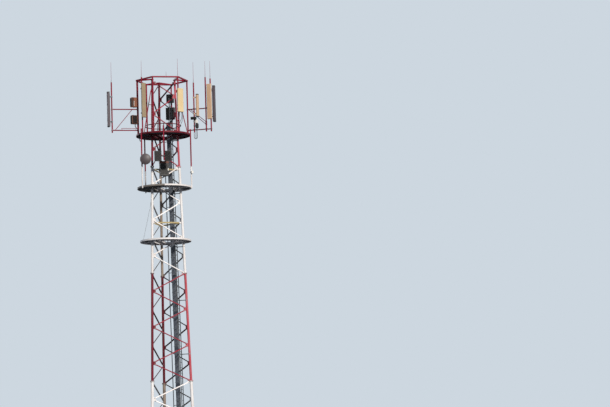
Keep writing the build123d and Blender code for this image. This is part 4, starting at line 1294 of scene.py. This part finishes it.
# A clamp is its pipe, the pipe's diameter, its level and the way its arm points
clamps = []
for place, (way, reach) in ((left_post, left_arm), (right_post, right_arm)):
    for level in arm_levels:
        clamps.append((place, post_diameter, level, way))
        clamps.append((place + direction(way) * reach, pipe_diameter, level, way))
for place in right_pipes[:2]:
    way = right_arm[0] - 90
    clamps += [(place, pipe_diameter, level, way) for level in arm_levels]
for panel in panels.values():
    for share in (bracket_share, 1 - bracket_share):
        level = panel.bottom + (panel.top - panel.bottom) * share
        clamps.append((panel.pipe, panel.diameter, level, panel.angle))
for box in boxes.values():
    clamps.append((box.pipe, box.diameter, (box.bottom + box.top) / 2, box.angle))
clamps.append((dish_pipe, pipe_diameter, dish_level, dish_facing))

ears = []
for place, diameter, level, way in clamps:
    for outward in (direction(way + 90), direction(way - 90)):
        reach = diameter / 2 + collar_wall + ear_reach
        ears.append(spot(place + lift(level) + outward * reach, outward))
plant("clamp_ears", ears, ear_tree)
print(len(clamps), "clamps with", len(ears), "pairs of ears")

# %% [markdown]
# ## Feeder hangers
# The eight feeder cables are held to the tray about every metre, each time by a hanger
# of two plates with a bolt at each end. They lie in the right face's own frame.

# %% Hangers along the feeders
feeder_middle = -0.095
feeder_inset = 0.0993
right_face = face_frame(leg_angles[1])
across, upward = right_face.col[0].xyz, right_face.col[1].xyz
# Y, the way through the plates, has to be the face's own outward way
hangers = [
    spot(right_face @ Vector((feeder_middle, level, -feeder_inset)), across, upward)
    for level in range(1, 27)
]
hanger_sizes = {
    "Plate length": 0.036,
    "Plate thickness": 0.004,
    "Plate width": 0.330,
    "Gap": 0.028,
    "Bolt width": 0.016,
    "Bolt length": 0.056,
    "Bolt along": 0.0,
    "Bolt across": 0.155,
}
plant("feeder_hangers", hangers, ear_tree, hanger_sizes)

# %% [markdown]
# ## Steel straps round the legs
# The platforms and the ladder are strapped to the legs, because a leg under load is
# never drilled. A strap is a flat ring. The tree sweeps a small rectangle round a
# circle, on each point of a list, as large as the leg is there.


# %% The strap's tree
def make_strap_tree(name, finish):
    """A flat ring round each seed point's Z."""
    tree, given = start_tree(
        name, {"Ring radius": 0.06, "Strap width": 0.03, "Strap thickness": 0.005}
    )
    feeds = {"Resolution": 24, "Radius": given["Ring radius"]}
    ring = add_node(tree, "GeometryNodeCurvePrimitiveCircle", feeds)
    feeds = {"Width": given["Strap thickness"], "Height": given["Strap width"]}
    section = add_node(tree, "GeometryNodeCurvePrimitiveQuadrilateral", feeds)
    feeds = {0: ring.outputs[0], "Profile Curve": section.outputs[0]}
    strap = add_node(tree, "GeometryNodeCurveToMesh", feeds)
    return end_planted(tree, given, strap, finish)


# %% Straps of the platforms and the ladder
strap_tree = make_strap_tree("leg_straps", bright_zinc)
strap_drops = (0.035, 0.125)
strap_gap = 0.002
ladder_bracket_levels = [1.5 + 3.0 * number for number in range(9)]
ladder_straps = [(leg_angles[1], level) for level in ladder_bracket_levels]
platform_straps = [
    (angle, level - drop)
    for angle in leg_angles
    for level, _ in platforms.values()
    for drop in strap_drops
]
for diameter in dict.fromkeys(leg_diameters):
    plant(
        f"leg_straps_{round(diameter * 1000)}",
        [
            leg_spot(angle, level)
            for angle, level in platform_straps + ladder_straps
            if leg_diameter(level) == diameter
        ],
        strap_tree,
        {"Ring radius": diameter / 2 + strap_gap},
    )

# %% [markdown]
# ## Weld beads
# Each length of leg is welded into its two flanges, and the bead round it is painted
# with the leg. It is a ring too, only 9 mm high and as thick, so the strap's tree makes
# it, once for each band and in that band's enamel.

# %% Beads where the legs meet their flanges
weld_size = 0.009
for band, diameter in enumerate(leg_diameters):
    low = band * band_height
    low += flange_thickness if band else base_plate_thickness
    high = (band + 1) * band_height - flange_thickness
    levels = (high, low) if band < len(splice_levels) else (low,)
    plant(
        f"leg_welds_{band + 1}",
        [leg_spot(angle, level) for angle in leg_angles for level in levels],
        make_strap_tree(f"weld_beads_{band + 1}", finishes[f"legs_band_{band + 1}"]),
        {
            "Ring radius": diameter / 2,
            "Strap width": weld_size,
            "Strap thickness": weld_size,
        },
    )

# %% [markdown]
# ## Whip ferrules, pipe caps and post bolts
# A lightning whip screws into a ferrule on the pipe's cap. Open pipe ends are closed
# with a domed cap against rain and birds, and each crown post stands on a foot plate
# with four bolts. The ferrules and bolts come from the bolt's tree, and the cap is a
# low cone with its tip cut off.


# %% The cap's tree
def make_cap_tree(name, finish):
    """A skirt and a low dome, two cut cones, on each seed point."""
    sizes = {"Cap radius": 0.041, "Skirt height": 0.030, "Dome height": 0.014}
    tree, given = start_tree(name, sizes)
    join = add_node(tree, "GeometryNodeJoinGeometry")
    wide, skirt, dome = [given[label] for label in sizes]
    shares = []
    for size, share in ((wide, 0.96), (wide, 0.55), (skirt, -1.0)):
        feeds = {0: size, 1: share}
        part = add_node(tree, "ShaderNodeMath", feeds, operation="MULTIPLY")
        shares.append(part.outputs[0])
    shoulder, crest, sink = shares
    cones = ((wide, shoulder, skirt, sink), (shoulder, crest, dome, 0.0))
    for bottom, top, height, base in cones:
        feeds = {"Vertices": 20, "Radius Bottom": bottom, "Radius Top": top}
        feeds["Depth"] = height
        cone = add_node(tree, "GeometryNodeMeshCone", feeds)
        place = add_node(tree, "ShaderNodeCombineXYZ", {"Z": base})
        feeds = {0: cone.outputs["Mesh"], "Translation": place.outputs[0]}
        raised = add_node(tree, "GeometryNodeTransform", feeds)
        tree.links.new(raised.outputs[0], join.inputs[0])
    return end_planted(tree, given, join, finish)


# %% Ferrules and caps
whip_feet = [
    left_pipe + lift(28.85),
    front_left_pipe + lift(29.07),
    front_right_post + lift(29.0),
    right_pipes[0] + lift(28.82),
    right_pipes[1] + lift(29.08),
    right_pipes[2] + lift(28.99),
]
ferrule_sizes = bolt_sizes(0.066, 0.008, 0.046, 0.040, 0.032, 0.070)
ferrules = [spot(place, (0, 0, 1), (1, 0, 0)) for place in whip_feet]
plant("whip_ferrules", ferrules, bolt_tree, ferrule_sizes)

cap_tree = make_cap_tree("pipe_caps", red_enamel)
outer_pipe_top = 26.10
aerial_pipe_bottom = 26.0
upper_ends = [
    place + lift(level)
    for place, level in (
        (back_left_pipe, 29.07),
        (dish_pipe, outer_pipe_top),
        (right_outer_pipe, outer_pipe_top),
        (back_pipe, outer_pipe_top),
        (front_pipe, 26.15),
    )
]
lower_ends = [place + lift(aerial_pipe_bottom) for place in (left_pipe, *right_pipes)]
cap_spots = [spot(place, (0, 0, 1), (1, 0, 0)) for place in upper_ends]
cap_spots += [spot(place, (0, 0, -1), (1, 0, 0)) for place in lower_ends]
plant("pipe_caps", cap_spots, cap_tree)

# %% Bolts in the posts' foot plates
foot_plate_top = platforms["head"][0] + 0.012
foot_bolt_reach = 0.050
foot_bolts = []
for angle in post_angles:
    out, side = direction(angle), direction(angle + 90)
    for along in (-foot_bolt_reach, foot_bolt_reach):
        for across in (-foot_bolt_reach, foot_bolt_reach):
            place = at(post_radius, angle, foot_plate_top) + out * along + side * across
            foot_bolts.append(spot(place, (0, 0, 1), out))
foot_bolt_sizes = {"Washer width": 0.026, "Hexagon width": 0.020, "Thread width": 0.012}
plant("post_foot_nuts", foot_bolts, bolt_tree, foot_bolt_sizes)
print(len(cap_spots), "caps and", len(foot_bolts), "post bolts")

# %% [markdown]
# ## End caps and lids
# A radome is a long drawn tube of glass fibre, closed at each end by a moulded cap that
# stands a little proud. The radio units and boxes have a lid in the same way. Their
# outlines are rounded rectangles, so one loft makes every cap: a few rounded
# rectangles above each other, joined by faces, and closed at both ends.

# %% Lofting rounded rectangles
smallest_corner = 0.004
cap_bevel = 0.004


def rounded_ring(box, corner, grow, level, steps=6):
    """Points round a box's rounded outline at a level, grown by a margin."""
    ring = []
    radius = max(corner + grow, smallest_corner)
    middle = middle_of(box).xy.to_3d() + lift(level)
    front, side = direction(box.angle), direction(box.angle + 90)
    for quarter in range(4):
        x_side = 1 if quarter in (0, 3) else -1
        y_side = 1 if quarter in (0, 1) else -1
        middle_x = x_side * (box.depth / 2 + grow - radius)
        middle_y = y_side * (box.width / 2 + grow - radius)
        for step in range(steps + 1):
            turn = radians(90 * quarter + 90 * step / steps)
            x = middle_x + radius * cos(turn)
            y = middle_y + radius * sin(turn)
            ring.append(middle + front * x + side * y)
    return ring


def add_cap(shell, box, corner, low, high, proud):
    """A closed cap round a box between two levels, with a bevel at both edges."""
    rows = [
        [shell.verts.new(point) for point in rounded_ring(box, corner, grow, level)]
        for grow, level in (
            (proud - cap_bevel, low),
            (proud, low + cap_bevel),
            (proud, high - cap_bevel),
            (proud - cap_bevel, high),
        )
    ]
    for lower, upper in zip(rows, rows[1:]):
        for place in range(len(lower)):
            after = (place + 1) % len(lower)
            shell.faces.new((lower[place], lower[after], upper[after], upper[place]))
    shell.faces.new(list(reversed(rows[0])))
    shell.faces.new(rows[-1])


def keep_shell(name, shell, finish, smooth_angle=35):
    """Turn a built shell into a piece with one finish and crisp edges."""
    mesh = bpy.data.meshes.new(name)
    bmesh.ops.recalc_face_normals(shell, faces=shell.faces)
    shell.to_mesh(mesh)
    shell.free()
    mesh.shade_smooth()
    mesh.set_sharp_from_angle(angle=radians(smooth_angle))
    mesh.materials.append(finish)
    return keep_piece(name, mesh)


def keep_caps(name, slot, finish, *caps):
    """A piece made of caps: each is its box, corner, bottom, top and margin."""
    shell = bmesh.new()
    for cap in caps:
        add_cap(shell, *cap)
    keep_shell(name, shell, finish)


# %% Caps and back channels of the aerials
cap_height = 0.045
cap_corner = 0.035
cap_over = 0.006
cap_proud = 0.003
channel_depth = 0.020
channel_sunk = 0.004
channel_corner = 0.006
channel_margin = 0.10
cap_finish = {
    "left": dark_housing,
    "front_left": tan_radome,
    "front_right": cream_radome,
    "right_inner": dark_housing,
    "right_middle": sand_radome,
    "right_outer": dark_housing,
}
for name, panel in panels.items():
    bottom, top = panel.bottom, panel.top
    keep_caps(
        f"panel_caps_{name}",
        "tan_radome",
        cap_finish[name],
        (panel, cap_corner, bottom - cap_over, bottom + cap_height, cap_proud),
        (panel, cap_corner, top - cap_height, top + cap_over, cap_proud),
    )
    # A folded galvanised channel up the back carries the two brackets
    behind = panel.standoff - panel.depth / 2 - channel_depth / 2 + channel_sunk
    channel = panel._replace(
        standoff=behind, width=panel.width / 2, depth=channel_depth
    )
    keep_caps(
        f"panel_channel_{name}",
        "galvanised",
        dull_zinc,
        (channel, channel_corner, bottom + channel_margin, top - channel_margin, 0.0),
    )

# %% Lids of the boxes
lid_corner = 0.012
lid_height = 0.030
lid_proud = 0.004
base_height = 0.020
base_proud = 0.003
lid_finish = {
    "left_upper": brown_housing,
    "left_lower": rusty_housing,
    "junction_arm": white_housing,
    "junction_low": white_housing,
}
for name, box in boxes.items():
    low, high = box.bottom, box.top
    keep_caps(
        f"lids_{name}",
        "dark_radio",
        lid_finish.get(name, dark_housing),
        (box, lid_corner, high - lid_height, high + lid_proud, lid_proud),
        (box, lid_corner, low - base_proud, low + base_height, base_proud),
    )
print("caps on", len(panels), "aerials and lids on", len(boxes), "boxes")

# %% [markdown]
# ## The equipment box
# The dark cabinet on the front face has a finned door, a brown rain hood, two hinges
# and a pale latch, and cable glands in its floor. The hood and the plinth are caps like
# the lids, round the CAD model's plain box, and the fins cover its door.

# %% The cabinet's place and size
front = leg_angles[0]
facing = -90
bracket_reach = 0.09
cabinet_aside = -0.150
cabinet_depth = 0.26
girth_height = on_face(front, 1, girth_levels[1]).y
bracket_foot = face_frame(front) @ Vector((cabinet_aside, girth_height, -gusset_half))
cabinet_middle = bracket_foot.xy.to_3d()
cabinet_middle += direction(facing) * (bracket_reach + cabinet_depth / 2)
cabinet = Hung(cabinet_middle, 0, facing, 0, 0.50, cabinet_depth, 23.46, 24.26)
door_face = cabinet_middle + direction(facing) * (cabinet_depth / 2)
print("the cabinet stands at", [round(value, 2) for value in cabinet_middle.xy])

# %% Hood, plinth and finned door
cabinet_corner = 0.020
low, high = cabinet.bottom, cabinet.top
hood = (cabinet, cabinet_corner, high - 0.11, high + 0.01, 0.009)
plinth = (cabinet, cabinet_corner, low - 0.005, low + 0.04, 0.004)
keep_caps("cabinet_hood", "dark_radio", rusty_housing, hood)
keep_caps("cabinet_plinth", "dark_radio", dark_housing, plinth)
door_comb_out = 0.008
door_comb_level = 23.81
door_comb = door_face + direction(facing) * door_comb_out + lift(door_comb_level)
plant(
    "cabinet_fins",
    [spot(door_comb, direction(facing))],
    fin_tree,
    {"Fin count": 17, "Fin pitch": 0.026, "Fin thickness": 0.012, "Fin height": 0.56},
)

# %% Hinges, latch and glands
hinge_bottoms = (23.955, 23.575)
hinge_height = 0.09
latch_bottom, latch_top = 23.72, 23.86
gland_shifts = (-0.15, -0.05, 0.05, 0.15)
hinge_side = cabinet_middle + Vector((-0.262, -0.10, 0))
hinge = cabinet._replace(pipe=hinge_side, width=0.018, depth=0.022)
latch_side = door_face + Vector((0.20, -0.020, 0))
latch = cabinet._replace(pipe=latch_side, width=0.05, depth=0.03)
hinges = [(hinge, 0.008, level, level + hinge_height, 0.0) for level in hinge_bottoms]
keep_caps("cabinet_hinges", "galvanised", bright_zinc, *hinges)
latch_cap = (latch, 0.010, latch_bottom, latch_top, 0.0)
keep_caps("cabinet_latch", "cream_radome", white_housing, latch_cap)
cabinet_floor = cabinet_middle + lift(cabinet.bottom - 0.005)
glands = [
    spot(cabinet_floor + Vector((shift, 0, 0)), (0, 0, -1), (1, 0, 0))
    for shift in gland_shifts
]
gland_sizes = bolt_sizes(0.044, 0.006, 0.038, 0.018, 0.028, 0.022)
plant("cabinet_glands", glands, boot_tree, gland_sizes)

# %% [markdown]
# ## The dish's rim band
# A microwave dish has a drum-shaped shroud, and a tensioned band holds its domed cover.
# The band goes round the drum, so its section is turned about the dish's own axis: the
# same few points are repeated at every step of the turn. Twelve small bolts hold it.

# %% A turned band
dish_standoff = 0.13
dish_aside = 0.2
dish_steps = 64
dish_way = direction(dish_facing)
dish_middle = dish_pipe + dish_way * dish_standoff + lift(dish_level)
dish_middle += direction(dish_facing + 90) * dish_aside
dish_frame = spot(dish_middle, dish_way)
# Radius and distance from the dish's middle, round the band's section
band_section = [
    (0.296, 0.118),
    (0.304, 0.120),
    (0.306, 0.124),
    (0.306, 0.152),
    (0.303, 0.158),
    (0.290, 0.164),
    (0.286, 0.160),
    (0.296, 0.152),
]


def add_turned(shell, place, profile, steps):
    """Turn a closed profile of radius and height about a frame's Z."""
    rows = []
    for step in range(steps):
        out = direction(360 * step / steps)
        points = [place @ (out * radius + lift(height)) for radius, height in profile]
        rows.append([shell.verts.new(point) for point in points])
    for here, there in sides_of(rows):
        for corner in range(len(profile)):
            after = (corner + 1) % len(profile)
            shell.faces.new((here[corner], there[corner], there[after], here[after]))


shell = bmesh.new()
add_turned(shell, dish_frame, band_section, dish_steps)
keep_shell("dish_band", shell, dark_housing)

# %% The band's bolts
band_radius = 0.306
band_middle = 0.138
dish_bolt_count = 12
dish_bolts = []
for number in range(dish_bolt_count):
    out = direction(360 * (number + 0.5) / dish_bolt_count)
    seat = dish_frame @ (out * band_radius + lift(band_middle))
    dish_bolts.append(spot(seat, dish_frame.to_3x3() @ out, dish_way))
dish_bolt_sizes = bolt_sizes(0.020, 0.002, 0.014, 0.006, 0.008, 0.003)
plant("dish_bolts", dish_bolts, bolt_tree, dish_bolt_sizes)

# %% [markdown]
# ## Look settings and the last measures
# The view transform is Standard, so that a colour renders about as it is written. The
# corners of the whole model's box are printed at the end. A detail that strays from the
# steel would show there as a box that grew.

# %% Settings, sizes and the end
scene.view_settings.view_transform = "Standard"
dressed_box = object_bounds()
for end, corner in zip(("lowest", "highest"), dressed_box):
    print("the box's", end, "corner is", [round(value, 2) for value in corner])
